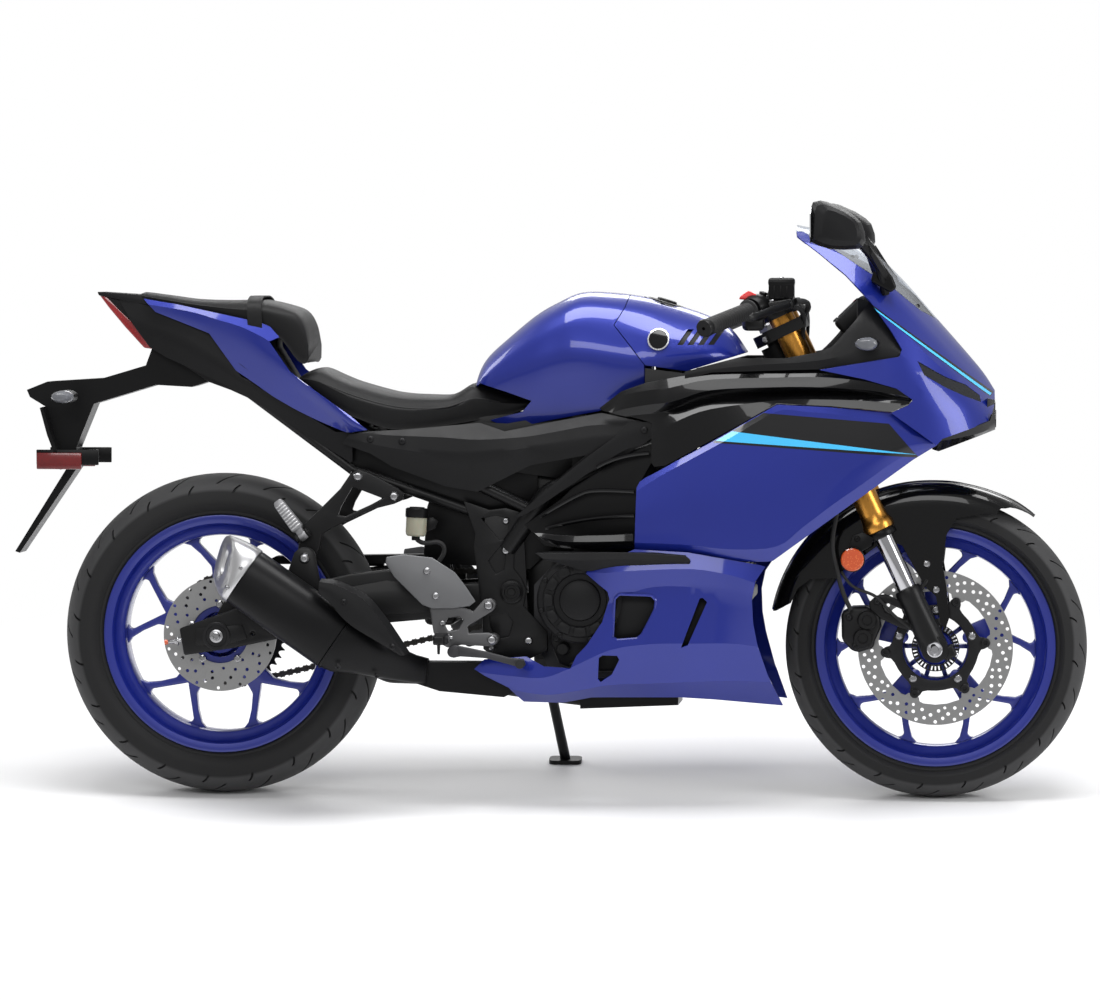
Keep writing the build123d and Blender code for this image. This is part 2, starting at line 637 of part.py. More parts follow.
with BuildPart() as undertray:
    slab([(-243, 974), (-158, 968.5), (-148, 966.4), (85, 918.2), (106, 906), (108, 868), (150, 800),
          (172, 804), (262, 739), (286, 718), (290, 664), (258, 646), (80, 756), (18, 784), (-26, 800),
          (-74, 832), (-104, 847), (-139, 867), (-172, 912)], -46, 46)
    cross_rod(300, 700, -98, 98, rail_cross_radius + seat_gap, Mode.SUBTRACT)
    cross_rod(-50, 846, -98, 98, rail_cross_radius + seat_gap, Mode.SUBTRACT)
keep("undertray", undertray)

with BuildPart() as tail_light:
    slab([(-247, 972.8), (-243.4, 973.4), (-172.5, 912.2), (-139.5, 867), (-141, 866), (-157, 868), (-192, 908)],
         -45, 45)
keep("tail_light", tail_light)

plate_out = Vector(-52, 0, -15).normalized()      # straight out of the number plate's board
plate_hole_radius = 3.0
plate_hole_length = 6.7       # the board's thickness


def plate_hole(side, out):
    """Point on the axis of a fixing hole in the board, some way out along it."""
    return Vector(-341, side * 62, 726) + plate_out * out


with BuildPart() as plate_holder:
    slab([(-137.5, 865.6), (-104, 846.4), (-74, 831.4), (-27, 800.3), (-60, 790), (-130, 794), (-252, 757),
          (-287, 672), (-285, 633), (-399, 466), (-408, 469), (-305, 633), (-330, 700), (-345, 750),
          (-378, 770), (-384, 784), (-344, 800), (-234, 807), (-150, 832)], -38, 38)
    slab([(-345, 752), (-330, 700), (-305, 633), (-311, 630), (-337, 698), (-351, 750)], -85, 85)
    for side in (-1, 1):
        rod(plate_hole(side, -8), plate_hole(side, 12), plate_hole_radius, Mode.SUBTRACT)
keep("plate_holder", plate_holder)

with BuildPart() as rear_signals:
    rod((-288, -38 - seat_gap, 775), (-290, -112, 773), 7)
    rod((-290, -108, 773), (-292, -172, 771), 16)
    both_sides()
keep("rear_signals", rear_signals)

# ---------------------------------------------------------------- side bodywork
flank_rows = [
    # x, then the right skin from top to bottom: (y, z)
    (270, (-130, 800), (-135, 700), (-135, 500)),
    (500, (-142, 800), (-148, 700), (-148, 500)),
    (700, (-152, 800), (-160, 700), (-162, 500)),
    (860, (-176, 800), (-184, 700), (-188, 500)),
]

with BuildPart() as side_covers:
    side_skin(flank_rows, 4)
    slab([(282, 703), (382, 712), (510, 724), (560, 708), (650, 726), (746, 744), (821, 729), (842, 723),
          (842, 694), (597, 527), (586, 548), (718, 663), (610, 643), (506, 591), (444, 601), (341, 639),
          (282, 683)], 0, -260, Mode.INTERSECT)
    cross_rod(450, 632, -104, -146, 7)
    cross_rod(784, 664, -118, -170, 7)
    rod((600, -105, 560), (300, -98, 700), rail_radius + seat_gap, Mode.SUBTRACT)
    rod((905, -116, 700), (640, -116, 590), main_tube_radius + seat_gap, Mode.SUBTRACT)
    both_sides()
keep("side_covers", side_covers)

seam = 0.8                    # open joint between neighbouring panels
fairing_rows = [
    # x, then the right skin at fixed heights: (y, z)
    (500, (-170, 830), (-170, 700), (-168, 560), (-166, 440), (-162, 330), (-154, 250), (-138, 180)),
    (800, (-190, 830), (-200, 700), (-202, 560), (-196, 440), (-180, 330), (-158, 250), (-112, 180)),
    (1000, (-196, 830), (-212, 700), (-214, 560), (-202, 440), (-180, 330), (-154, 250), (-104, 180)),
    (1200, (-200, 830), (-214, 700), (-214, 560), (-196, 440), (-170, 330), (-142, 250), (-96, 180)),
    (1400, (-188, 830), (-196, 700), (-190, 560), (-170, 440), (-150, 330), (-126, 250), (-90, 180)),
    (1500, (-150, 830), (-150, 700), (-146, 560), (-136, 440), (-120, 330), (-104, 250), (-84, 180)),
]


def flank_panel(outline, *bosses):
    """Panel of the flank's skin inside its seams, with bosses given as x, z and the y they reach in to."""
    side_skin(fairing_rows, 4)
    slab(outline, 0, -300, Mode.INTERSECT, grow=-seam / 2)
    for x, z, y_from, y_to in bosses:
        cross_rod(x, z, y_from, y_to, 7)
    both_sides()


with BuildPart() as side_fairings:
    flank_panel([(818, 603), (825, 617), (858, 634), (1086, 762), (1190, 757), (1303, 746), (1389, 684),
                 (1345, 657), (1065, 454), (915, 479), (814, 484)], (860, 560, -84 - seat_gap, -200))
keep("side_fairings", side_fairings)

with BuildPart() as duct_panels:
    flank_panel([(782, 779), (840, 793), (898, 804), (960, 822), (1166, 828), (1262, 764), (1332, 766), (1303, 746),
                 (1190, 757), (1086, 762), (858, 634), (846, 650), (846, 725), (822, 733), (750, 749)])
keep("duct_panels", duct_panels)

with BuildPart() as belly_pans:
    flank_panel([(890, 480.2), (915, 479), (1065, 454), (1045, 425), (1038, 391), (1047, 307), (1093, 183),
                 (960, 196), (896, 200), (726, 199), (671, 188), (595, 189), (569, 217), (502, 250), (522, 269),
                 (604, 276), (639, 258), (695, 259), (704, 280), (800, 290), (800, 470), (814, 484)],
                (866, 276, -140 - seat_gap, -161))
    block((480, 700), (60, 300), (150, 300), Mode.SUBTRACT)       # the side stand swings here
keep("belly_pans", belly_pans)

# ---------------------------------------------------------------- front bodywork
hood_rows = [
    # x, then the right half from the top centre down: (y, z)
    (1112, (0, 1104), (-80, 1097), (-140, 1071), (-182, 1000), (-202, 850), (-204, 700)),
    (1190, (0, 1088), (-85, 1078), (-145, 1050), (-186, 985), (-205, 850), (-210, 700)),
    (1255, (0, 1062), (-85, 1050), (-145, 1015), (-188, 950), (-206, 840), (-210, 700)),
    (1320, (0, 1000), (-80, 985), (-140, 945), (-184, 880), (-202, 800), (-206, 700)),
    (1381, (0, 929), (-65, 915), (-120, 880), (-168, 815), (-188, 760), (-196, 700)),
    (1440, (0, 862), (-45, 850), (-90, 820), (-134, 780), (-158, 745), (-170, 700)),
    (1492, (0, 795), (-20, 788), (-45, 770), (-84, 745), (-108, 725), (-120, 700)),
]
screen_outline = [(1118, 1110), (1130, 1092), (1191, 1057), (1258, 1014), (1290, 996), (1354, 942), (1384, 925),
                  (1390, 935), (1300, 1100)]
lamp_outline = [(1353, 842), (1443, 798), (1468, 778), (1472, 764), (1440, 782), (1365, 817)]

with BuildPart() as windscreen:
    arch_skin(hood_rows, 3)
    slab(screen_outline, -300, 300, Mode.INTERSECT, grow=-seam / 2)
keep("windscreen", windscreen)

with BuildPart() as front_cowl:
    arch_skin(hood_rows, 4)
    slab([(1118, 1092), (1130, 1092), (1191, 1057), (1258, 1014), (1290, 996), (1354, 942), (1384, 925),
          (1440, 872), (1492, 806), (1492, 712), (1389, 684), (1303, 746), (1332, 766), (1262, 764),
          (1166, 828), (1318, 853), (1323, 867), (1304, 899), (1260, 961), (1215, 1008), (1167, 1047),
          (1120, 1083)], -300, 300, Mode.INTERSECT, grow=-seam / 2)
    slab(lamp_outline, -300, -60, Mode.SUBTRACT, grow=seam / 2)
    slab(lamp_outline, 60, 300, Mode.SUBTRACT, grow=seam / 2)
keep("front_cowl", front_cowl)

with BuildPart() as headlights:
    arch_skin(hood_rows, 10, -1)
    slab(lamp_outline, -300, -62, Mode.INTERSECT)
    both_sides()
keep("headlights", headlights)

stay_half = 173.6             # the front stay reaches the panels on both sides
with BuildPart() as cockpit:
    bent_tube([(1112, 0, 812), (1180, 0, 850), (1240, 0, 905)], 12, [60])
    block((1205, 1240), (-78, 78), (905, 975))
    block((1240, 1250), (-stay_half, stay_half), (903, 923))
    rod(on_steering(head_from - 20), on_steering(head_to + 20), head_radius + seat_gap, Mode.SUBTRACT)
keep("cockpit", cockpit)

with BuildPart() as cockpit_panels:
    side_skin([(900, (-188, 1000), (-190, 860), (-192, 800)), (1180, (-176, 1000), (-190, 860), (-198, 800)),
               (1262, (-166, 1000), (-184, 860), (-196, 800)), (1330, (-152, 1000), (-180, 860), (-194, 800))],
              3)
    slab([(909, 808.5), (909, 824), (1010, 850), (1100, 850), (1190, 872), (1260, 961), (1304, 899), (1323, 867),
          (1318, 853), (1166, 828), (960, 822)], 0, -300, Mode.INTERSECT, grow=-seam / 2)
    both_sides()
keep("cockpit_panels", cockpit_panels)

with BuildPart() as front_signals:
    rod((1258, -184, 878), (1262, -226, 878), 8)
    rod((1262, -222, 878), (1262, -262, 878), 17)
    both_sides()
keep("front_signals", front_signals)

with BuildPart() as mirrors:
    slab([(1158, 1146), (1185, 1146), (1218, 1132), (1249, 1109), (1257, 1072), (1246, 1058), (1191, 1057),
          (1154, 1071)], -250, -362)
    bent_tube([(1284, -146, 966), (1282, -164, 1016), (1258, -215, 1052), (1236, -256, 1080)], 9, [30, 30])
    rod((1284, -140, 960), (1282, -160, 1004), 15)
    arch_solid(hood_rows, seat_gap, Mode.SUBTRACT)
    both_sides()
keep("mirrors", mirrors)

# ---------------------------------------------------------------- footrests and brackets
step_face = 160.0
peg_pin = 4.0
peg_eye = 16.0                # width of a footrest's eye along its pin
ear_gap = 0.6
ear = 5.0
rider_pivot = Vector(444, -step_face - 19, 313)
rider_axis = Vector(1, 0, 0)
rider_out = Vector(0, -1, 0)
pillion_pivot = Vector(170, -hanger_face - 16, 506)
pillion_axis = Vector(0.8, 0, 0.6)
pillion_folded = Vector(-0.6, 0, 0.8)


def peg_ears(pivot, axis, face):
    """Two ears and the pin of a folding footrest, standing out of a plate whose outer face is at y = face."""
    reach = peg_eye / 2 + ear_gap + ear
    for sign in (-1, 1):
        inner, outer = pivot + axis * sign * (reach - ear), pivot + axis * sign * reach
        rod(inner, outer, 9)
        middle = (inner + outer) / 2
        bar(middle, (middle.X, face, middle.Z), ear, 16, axis)
    rod(pivot - axis * reach, pivot + axis * reach, peg_pin)


def peg(pivot, axis, out, length, width, height):
    """Folding footrest: its eye round the pin and its tread."""
    rod(pivot - axis * peg_eye / 2, pivot + axis * peg_eye / 2, 9)
    bar(pivot, pivot + out * 14, peg_eye, 14, axis)
    bar(pivot + out * 14, pivot + out * length, width, height, axis)
    rod(pivot - axis * 20, pivot + axis * 20, peg_pin + axle_clearance, Mode.SUBTRACT)


for name, *shape in (("rider_peg", rider_pivot, rider_axis, rider_out, 86, 26, 20),
                     ("pillion_peg", pillion_pivot, pillion_axis, pillion_folded, 84, 24, 18)):
    with BuildPart() as right_peg:
        peg(*shape)
    keep(name + "_right", right_peg)
    with BuildPart() as left_peg:
        add(right_peg.part.mirror(Plane.XZ))
    keep(name + "_left", left_peg)

with BuildPart() as step_brackets:
    slab([(333, 462), (359, 471), (421, 462), (471, 431), (506, 382), (482, 369), (428, 368), (357, 411)],
         -step_face, -step_face - 4)
    slab([(400, 440), (430, 445), (542, 385), (545, 300), (520, 300), (505, 350), (450, 310), (430, 318),
          (440, 345), (415, 380)], -step_face + 12, -step_face)
    cross_rod(531, 374, -plate_outer - seat_gap, -step_face, 10)
    cross_rod(536, 309, -plate_outer - seat_gap, -step_face, 10)
    bar((464, -step_face - 14, 286), (599, -step_face - 30, 262), 8, 12)
    cross_rod(464, 286, -step_face - 20, -step_face + 4, 8)
    slab([(450, 300), (476, 300), (476, 276), (456, 276)], -step_face, -step_face - 4)
    slab([(426, 334), (462, 334), (462, 296), (426, 296)], -step_face, -step_face - 4)
    peg_ears(rider_pivot, rider_axis, -step_face)
    both_sides()
keep("step_brackets", step_brackets)

with BuildPart() as pillion_hangers:
    slab([(272, 632), (300, 636), (362, 612), (370, 594), (340, 572), (205, 510), (180, 505), (170, 520),
          (180, 545), (250, 604)], -118, -hanger_face)
    slab([(290, 612), (338, 590), (318, 574), (240, 540), (222, 538), (230, 556)], -110, -140, Mode.SUBTRACT)
    slab([(200, 532), (206, 508), (192, 468), (168, 468), (146, 494), (160, 520)], -118, -hanger_face)
    cross_rod(290, 622.5, -104.9, -119, 7)
    cross_rod(352, 601.5, -106.2, -119, 7)
    peg_ears(pillion_pivot, pillion_axis, -hanger_face)
    both_sides()
keep("pillion_hangers", pillion_hangers)

# ---------------------------------------------------------------- rear brake
with BuildPart() as rear_caliper:
    slab(by_rear((24, 384), (66, 358), (90, 392), (50, 440), (12, 434)), -56, -101)
    with BuildSketch(Plane.XZ.offset(68.5)) as slot:
        with Locations((rear_axle.X, rear_axle.Z)):
            Circle(116)
    extrude(slot.sketch, amount=19, mode=Mode.SUBTRACT)
    slab(by_rear((14, 296), (66, 362), (20, 392), (-14, 330)), -90, -101)
    cross_rod(rear_axle.X, rear_axle.Z, -90, -101, 27)
    cross_rod(rear_axle.X, rear_axle.Z, -120, -60, 17 + seat_gap, Mode.SUBTRACT)
keep("rear_caliper", rear_caliper)

# ---------------------------------------------------------------- steering group
lower_yoke = (504.0, 530.0)
upper_yoke = (666.0, 688.0)
leg_radius = 25.0
slider_radius = 18.5
stand_bore_radius = 9.0       # a workshop stand's pin goes up into the stem
stand_bore_depth = 40.0

with BuildPart() as yokes:
    for low, high in (lower_yoke, upper_yoke):
        foot = on_steering(low)
        with BuildSketch(Plane(origin=foot, x_dir=(0, 1, 0), z_dir=steer_up)) as plan:
            with Locations((0, fork_offset * -1)):
                Rectangle(fork_spacing + 72, 70)
            Circle(34)
            with Locations((fork_spacing / 2, -fork_offset), (-fork_spacing / 2, -fork_offset)):
                Circle(leg_radius, mode=Mode.SUBTRACT)
        extrude(plan.sketch, amount=high - low)
    rod(on_steering(lower_yoke[0]), on_steering(upper_yoke[1] + 8), stem_radius)
    rod(on_steering(lower_yoke[0] - 1), on_steering(lower_yoke[0] + stand_bore_depth), stand_bore_radius,
        Mode.SUBTRACT)
keep("yokes", yokes)

with BuildPart() as fork_tubes:
    for side in (-1, 1):
        rod(on_leg(250, side), on_leg(702, side), leg_radius - 0.02)
        rod(on_leg(249, side), on_leg(330, side), slider_radius + 0.02, Mode.SUBTRACT)
keep("fork_tubes", fork_tubes)

with BuildPart() as fork_legs:
    for side in (-1, 1):
        rod(on_leg(20 - front_drop, side), on_leg(328, side), slider_radius)
        rod(on_leg(18 - front_drop, side), on_leg(128 - front_drop, side), 25)
        y = side * fork_spacing / 2
        cross_rod(front_axle.X, front_axle.Z, y - 24, y + 24, 27)
    cross_rod(front_axle.X, front_axle.Z, -140, 140, front_axle_radius + axle_clearance, Mode.SUBTRACT)
keep("fork_legs", fork_legs)

with BuildPart() as front_spindle:
    cross_rod(front_axle.X, front_axle.Z, -122, 122, front_axle_radius)
    for side in (-1, 1):
        cross_rod(front_axle.X, front_axle.Z, side * (front_hub_half + 1), side * 70.7, 17)
keep("front_spindle", front_spindle)

bar_inner = on_leg(720, -1)
bar_bend = (1060, -165, 952)
bar_end = (954.0, -346.5, 907.6)
bar_inward = (Vector(*bar_bend) - Vector(*bar_end)).normalized()
bar_thread_depth = 25.0
bar_radius = 11.0
with BuildPart() as handlebars:
    rod(on_leg(702 + seat_gap, -1), on_leg(735, -1), 32)
    bent_tube([tuple(bar_inner), bar_bend, bar_end], bar_radius, [20])
    rod((961, -334, 910.5), bar_end, 17)
    rod(Vector(*bar_end) - bar_inward * 2, Vector(*bar_end) + bar_inward * bar_thread_depth, thread_radius,
        Mode.SUBTRACT)
    both_sides()
keep("handlebars", handlebars)

with BuildPart() as grips:
    rod((1033, -211, 940.7), (962, -333, 911), 16.5)
    rod((1033, -211, 940.7), (962, -333, 911), 11 + seat_gap, Mode.SUBTRACT)
    both_sides()
keep("grips", grips)

with BuildPart() as controls:
    rod((1053, -177, 949), (1034.5, -208.5, 941.3), 21)
    bar((1064, -186, 948), (1112, -192, 958), 18, 18)
    rod((1110, -190, 957), (1050, -325, 932), 6)
    rod(bar_bend, bar_end, bar_radius + seat_gap, Mode.SUBTRACT)
    both_sides()
    block((1068, 1118), (-195, -147), (966, 1002))
    bar((1090, -172, 950), (1092, -172, 968), 14, 14)
keep("controls", controls)

fender_inner = front_tyre_radius + 15
fender_half = 66.0
fender_from, fender_to = 52.0, 166.0      # degrees round the wheel, from straight ahead
with BuildPart() as front_fender:
    fender_start = Vector(cos(radians(fender_from)), 0, sin(radians(fender_from)))
    with BuildSketch(Plane(origin=front_axle, x_dir=fender_start,
                           z_dir=(-fender_start.Z, 0, fender_start.X))) as section:
        with BuildLine():
            Polyline((fender_inner - 34, -fender_half), (fender_inner, -fender_half), (fender_inner + 11, -34),
                     (fender_inner + 11, 34), (fender_inner, fender_half), (fender_inner - 34, fender_half),
                     (fender_inner - 34, fender_half - 3), (fender_inner - 1, fender_half - 3), (fender_inner + 8, 32),
                     (fender_inner + 8, -32), (fender_inner - 1, 3 - fender_half),
                     (fender_inner - 34, 3 - fender_half),
                     close=True)
        make_face()
    revolve(section.sketch, axis=Axis(front_axle, (0, 1, 0)), revolution_arc=fender_from - fender_to)
    for side in (-1, 1):
        cross_rod(*by_front((1336, 398))[0], side * (fender_half - 1), side * (fork_spacing / 2 - 25 - seat_gap), 8)
        slab(by_front((1290, 585), (1400, 600), (1420, 540), (1392, 420), (1405, 345), (1368, 345), (1335, 420),
                      (1300, 500)), side * (fender_half - 3), side * fender_half)
keep("front_fender", front_fender)

with BuildPart() as front_caliper:
    slab(by_front((1205, 290), (1230, 275), (1275, 290), (1280, 345), (1262, 372), (1222, 368), (1205, 340)),
         -36, -100)
    with BuildSketch(Plane.XZ.offset(50)) as slot:
        with Locations((front_axle.X, front_axle.Z)):
            Circle(155)
    extrude(slot.sketch, amount=16, mode=Mode.SUBTRACT)
    slab(by_front((1262, 372), (1280, 340), (1329, 350), (1312.5, 384), (1300, 392)), -88, -100)
keep("front_caliper", front_caliper)

# ---------------------------------------------------------------- side stand
stand_foot = Vector(646, 256, 0)      # height is set by the ground under the leaning machine
ground_tilt = tan(radians(lean))

with BuildPart() as side_stand:
    foot_height = stand_foot.Y * ground_tilt
    ankle = Vector(stand_foot.X, stand_foot.Y - 1, foot_height + 5)
    rod(stand_pivot, ankle, 10)
    rod(stand_pivot - stand_axis * stand_eye / 2, stand_pivot + stand_axis * stand_eye / 2, 15)
    with BuildSketch(Plane(origin=(stand_foot.X, stand_foot.Y, foot_height - 0.8), x_dir=(1, 0, 0),
                           z_dir=(0, -sin(radians(lean)), cos(radians(lean))))) as sole:
        RectangleRounded(64, 44, 12)
    extrude(sole.sketch, amount=8)
    rod(stand_pivot - stand_axis * 30, stand_pivot - stand_axis * stand_eye / 2, 18, Mode.SUBTRACT)
    rod(stand_pivot - stand_axis * 30, stand_pivot + stand_axis * 30, stand_pin + axle_clearance, Mode.SUBTRACT)
keep("side_stand", side_stand)

# ---------------------------------------------------------------- lean, centre, write
tilt = Location((0, 0, 0), (-lean, 0, 0))
corners = [piece.part.moved(tilt).bounding_box() for piece in pieces.values()]
low = [min(getattr(box.min, axis) for box in corners) for axis in "XYZ"]
high = [max(getattr(box.max, axis) for box in corners) for axis in "XYZ"]
park = Location((-(low[0] + high[0]) / 2, -(low[1] + high[1]) / 2, -low[2])) * tilt

os.makedirs("parts", exist_ok=True)
for name, piece in pieces.items():
    piece.part.label = name
    export_step(piece.part.moved(park), f"parts/{name}.step")
print(len(pieces), "pieces; length, width, height:", [round(b - a, 1) for a, b in zip(low, high)])
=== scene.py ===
# %% [markdown]
# # A sport motorcycle on its side stand
# The machine's working parts come ready made as a fixed frame: wheels, swing arm, forks, stand and the
# joints between them. This lesson dresses that frame. Painted bodywork, seats, tyres and castings are
# modelled as meshes in its place, and every part gets a finish made of shader nodes.

# %% Load the frame
import json
from math import acos, atan2, cos, degrees, hypot, pi, radians, sin

import bmesh
import bpy
from mathutils import Matrix, Vector


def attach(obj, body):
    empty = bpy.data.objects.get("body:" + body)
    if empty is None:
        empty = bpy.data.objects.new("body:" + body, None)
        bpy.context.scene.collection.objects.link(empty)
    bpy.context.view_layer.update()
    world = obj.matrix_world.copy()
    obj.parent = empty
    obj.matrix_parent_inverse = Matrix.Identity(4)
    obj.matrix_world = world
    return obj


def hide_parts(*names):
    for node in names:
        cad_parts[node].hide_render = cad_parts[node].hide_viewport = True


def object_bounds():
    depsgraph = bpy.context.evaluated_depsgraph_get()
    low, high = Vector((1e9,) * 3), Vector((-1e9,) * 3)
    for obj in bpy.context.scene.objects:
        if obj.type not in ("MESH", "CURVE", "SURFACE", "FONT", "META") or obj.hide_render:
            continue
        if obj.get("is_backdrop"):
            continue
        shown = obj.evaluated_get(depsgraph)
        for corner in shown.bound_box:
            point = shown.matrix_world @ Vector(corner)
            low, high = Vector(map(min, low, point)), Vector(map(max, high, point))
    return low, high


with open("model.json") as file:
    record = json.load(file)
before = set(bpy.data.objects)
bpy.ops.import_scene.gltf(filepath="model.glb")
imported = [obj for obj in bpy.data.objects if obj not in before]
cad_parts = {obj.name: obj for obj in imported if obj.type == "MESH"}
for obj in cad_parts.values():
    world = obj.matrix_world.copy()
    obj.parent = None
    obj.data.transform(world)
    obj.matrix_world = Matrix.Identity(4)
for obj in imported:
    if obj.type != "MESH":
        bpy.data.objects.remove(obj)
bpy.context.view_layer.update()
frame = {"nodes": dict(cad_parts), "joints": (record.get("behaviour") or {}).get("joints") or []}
joints = {joint["name"]: joint for joint in frame["joints"]}

# %% [markdown]
# ## Working on an upright machine
# The finished motorcycle leans on its stand, which is awkward to draw on. So every piece is modelled in
# millimetres on an upright machine: x forward from the rear axle, y to the rider's left, z up from the
# ground. One matrix then leans the finished mesh over, and its object stays at the origin, unturned.

# %% The upright machine's matrix
rear_joint, front_joint = joints["rear_wheel_spin"], joints["front_wheel_spin"]
left = Vector(rear_joint["axis"]).normalized()
forward = Vector((1, 0, 0))
up = forward.cross(left)
rear_axle_height = 311.0
wheel_gap = Vector(front_joint["pos_m"]) - Vector(rear_joint["pos_m"])
front_axle = Vector((wheel_gap.dot(forward) * 1000, 0, rear_axle_height + wheel_gap.dot(up) * 1000))
rear_axle = Vector((0, 0, rear_axle_height))
turn = Matrix((forward, left, up)).transposed().to_4x4()
ground_mark = Vector(rear_joint["pos_m"]) - up * rear_axle_height / 1000
upright = Matrix.Translation(ground_mark) @ turn @ Matrix.Scale(0.001, 4)
lean = atan2(left.z, left.y)
print("lean", round(degrees(lean), 2), "degrees; front axle at", [round(v, 1) for v in front_axle])


def upright_point(joint):
    """A joint's place on the upright machine, in millimetres."""
    return upright.inverted() @ Vector(joints[joint]["pos_m"])


def upright_axis(joint):
    """A joint's axis on the upright machine."""
    return turn.inverted().to_3x3() @ Vector(joints[joint]["axis"])


steer_up = upright_axis("steering")
steer_point = upright_point("steering")
fork_half = 95.0


def on_leg(along, side):
    """Point of a fork leg's centre line, some way up from the front axle; side is -1 right, +1 left."""
    return front_axle + steer_up * along + Vector((0, side * fork_half, 0))


# %% [markdown]
# ## Camera
# The camera stands far off on the machine's right, a little ahead of the middle and just above it, with a
# long lens that keeps both wheels nearly round. It leans with the machine, so that the machine looks
# upright.

# %% Camera
scene = bpy.context.scene
camera_place = upright @ Vector((1621.5, -12000, 1040.3))
camera_target = upright @ Vector((635.8, 0, 570.9))
camera_data = bpy.data.cameras.new("camera")
camera_data.sensor_width = 36.0
camera_data.lens = 36.0 * 6203 / 1100
camera_data.clip_end = 60
camera = bpy.data.objects.new("camera", camera_data)
scene.collection.objects.link(camera)
view_back = (camera_place - camera_target).normalized()
view_right = up.cross(view_back).normalized()
view_up = view_back.cross(view_right)
view_axes = Matrix((view_right, view_up, view_back)).transposed().to_4x4()
camera.matrix_world = Matrix.Translation(camera_place) @ view_axes
scene.camera = camera

# %% [markdown]
# ## Studio
# A pale floor under soft light from large lamps. The lamps are strips and softboxes, because lacquered
# panels mirror them: their long edges draw the highlights along the creases. The camera sees a plain
# white background, set through Light Path so that it adds no light to the machine.

# %% Studio
def area_light(name, place, target, size, power, colour=(1, 1, 1)):
    """Rectangular softbox that faces a target; size is width and height in metres."""
    data = bpy.data.lights.new(name, "AREA")
    data.shape = "RECTANGLE"
    data.size, data.size_y = size
    data.energy = power
    data.color = colour
    lamp = bpy.data.objects.new(name, data)
    scene.collection.objects.link(lamp)
    lamp.location = place
    lamp.rotation_euler = (Vector(target) - Vector(place)).to_track_quat("-Z", "Y").to_euler()
    return lamp


area_light("top_strip", (0.1, -0.2, 3.6), (0.1, -0.1, 0.5), (3.6, 1.5), 150)
area_light("right_softbox", (-0.6, -4.2, 3.3), (0, 0, 0.55), (3.6, 1.2), 62)
area_light("front_softbox", (4.0, -1.6, 2.0), (0.2, 0, 0.6), (1.6, 2.0), 60)
area_light("rear_softbox", (-3.8, 1.8, 2.2), (0, 0, 0.6), (1.6, 2.0), 45)
area_light("left_softbox", (0.4, 4.4, 2.4), (0, 0, 0.5), (3.4, 1.2), 60)

world = bpy.data.worlds.new("studio")
scene.world = world
world.use_nodes = True
world_nodes, world_links = world.node_tree.nodes, world.node_tree.links
world_nodes.clear()
node_kinds = ("OutputWorld", "LightPath", "Math", "Math", "Background", "Background", "MixShader")
made = [world_nodes.new("ShaderNode" + kind) for kind in node_kinds]
world_out, light_path, seen, mirrored_part, ambient, backdrop, either = made
seen.operation = "MAXIMUM"
mirrored_part.operation = "MULTIPLY_ADD"
mirrored_part.inputs[1].default_value = 0.22
for surface, strength in ((ambient, 0.30), (backdrop, 1.0)):
    surface.inputs["Color"].default_value = (1, 1, 1, 1)
    surface.inputs["Strength"].default_value = strength
ray = light_path.outputs
world_routes = (  # each from an output to an input
    (ray["Is Camera Ray"], seen.inputs[0]),
    (ray["Is Glossy Ray"], mirrored_part.inputs[0]),
    (ray["Is Transmission Ray"], mirrored_part.inputs[2]),
    (mirrored_part.outputs[0], seen.inputs[1]),
    (seen.outputs[0], either.inputs[0]),
    (ambient.outputs[0], either.inputs[1]),
    (backdrop.outputs[0], either.inputs[2]),
    (either.outputs[0], world_out.inputs[0]))
for route in world_routes:
    world_links.new(*route)
scene.view_settings.view_transform = "Standard"

# %% [markdown]
# ## Shader maths as expressions
# Node trees are easier to read as formulas. A small class wraps an output socket and overloads the
# operators, so that `1 - mask` or `mask * 0.2 + 0.3` adds its Math nodes by itself. Any other node comes
# from one method.

# %% Shader helpers
def feed(tree, entry, value):
    """Link a Value to a socket, or set the socket's constant."""
    if isinstance(value, Value):
        tree.links.new(value.socket, entry)
    else:
        entry.default_value = value


class Value:
    """An output socket that does arithmetic by adding Math nodes."""

    def __init__(self, tree, socket):
        self.tree = tree
        self.socket = socket

    def maths(self, operation, *others, clamp=False):
        node = self.tree.nodes.new("ShaderNodeMath")
        node.operation = operation
        node.use_clamp = clamp
        for entry, other in zip(node.inputs, others):
            feed(self.tree, entry, other)
        return Value(self.tree, node.outputs[0])

    def __add__(self, other):
        return self.maths("ADD", self, other)

    def __sub__(self, other):
        return self.maths("SUBTRACT", self, other)

    def __rsub__(self, other):
        return self.maths("SUBTRACT", other, self)

    def __mul__(self, other):
        return self.maths("MULTIPLY", self, other)

    def __gt__(self, other):
        return self.maths("GREATER_THAN", self, other)

    def __lt__(self, other):
        return self.maths("LESS_THAN", self, other)

    def __abs__(self):
        return self.maths("ABSOLUTE", self)


def scaled(colour, *factors):
    """The colour made darker or lighter by each factor."""
    return [tuple(min(1, c * factor) for c in colour) for factor in factors]


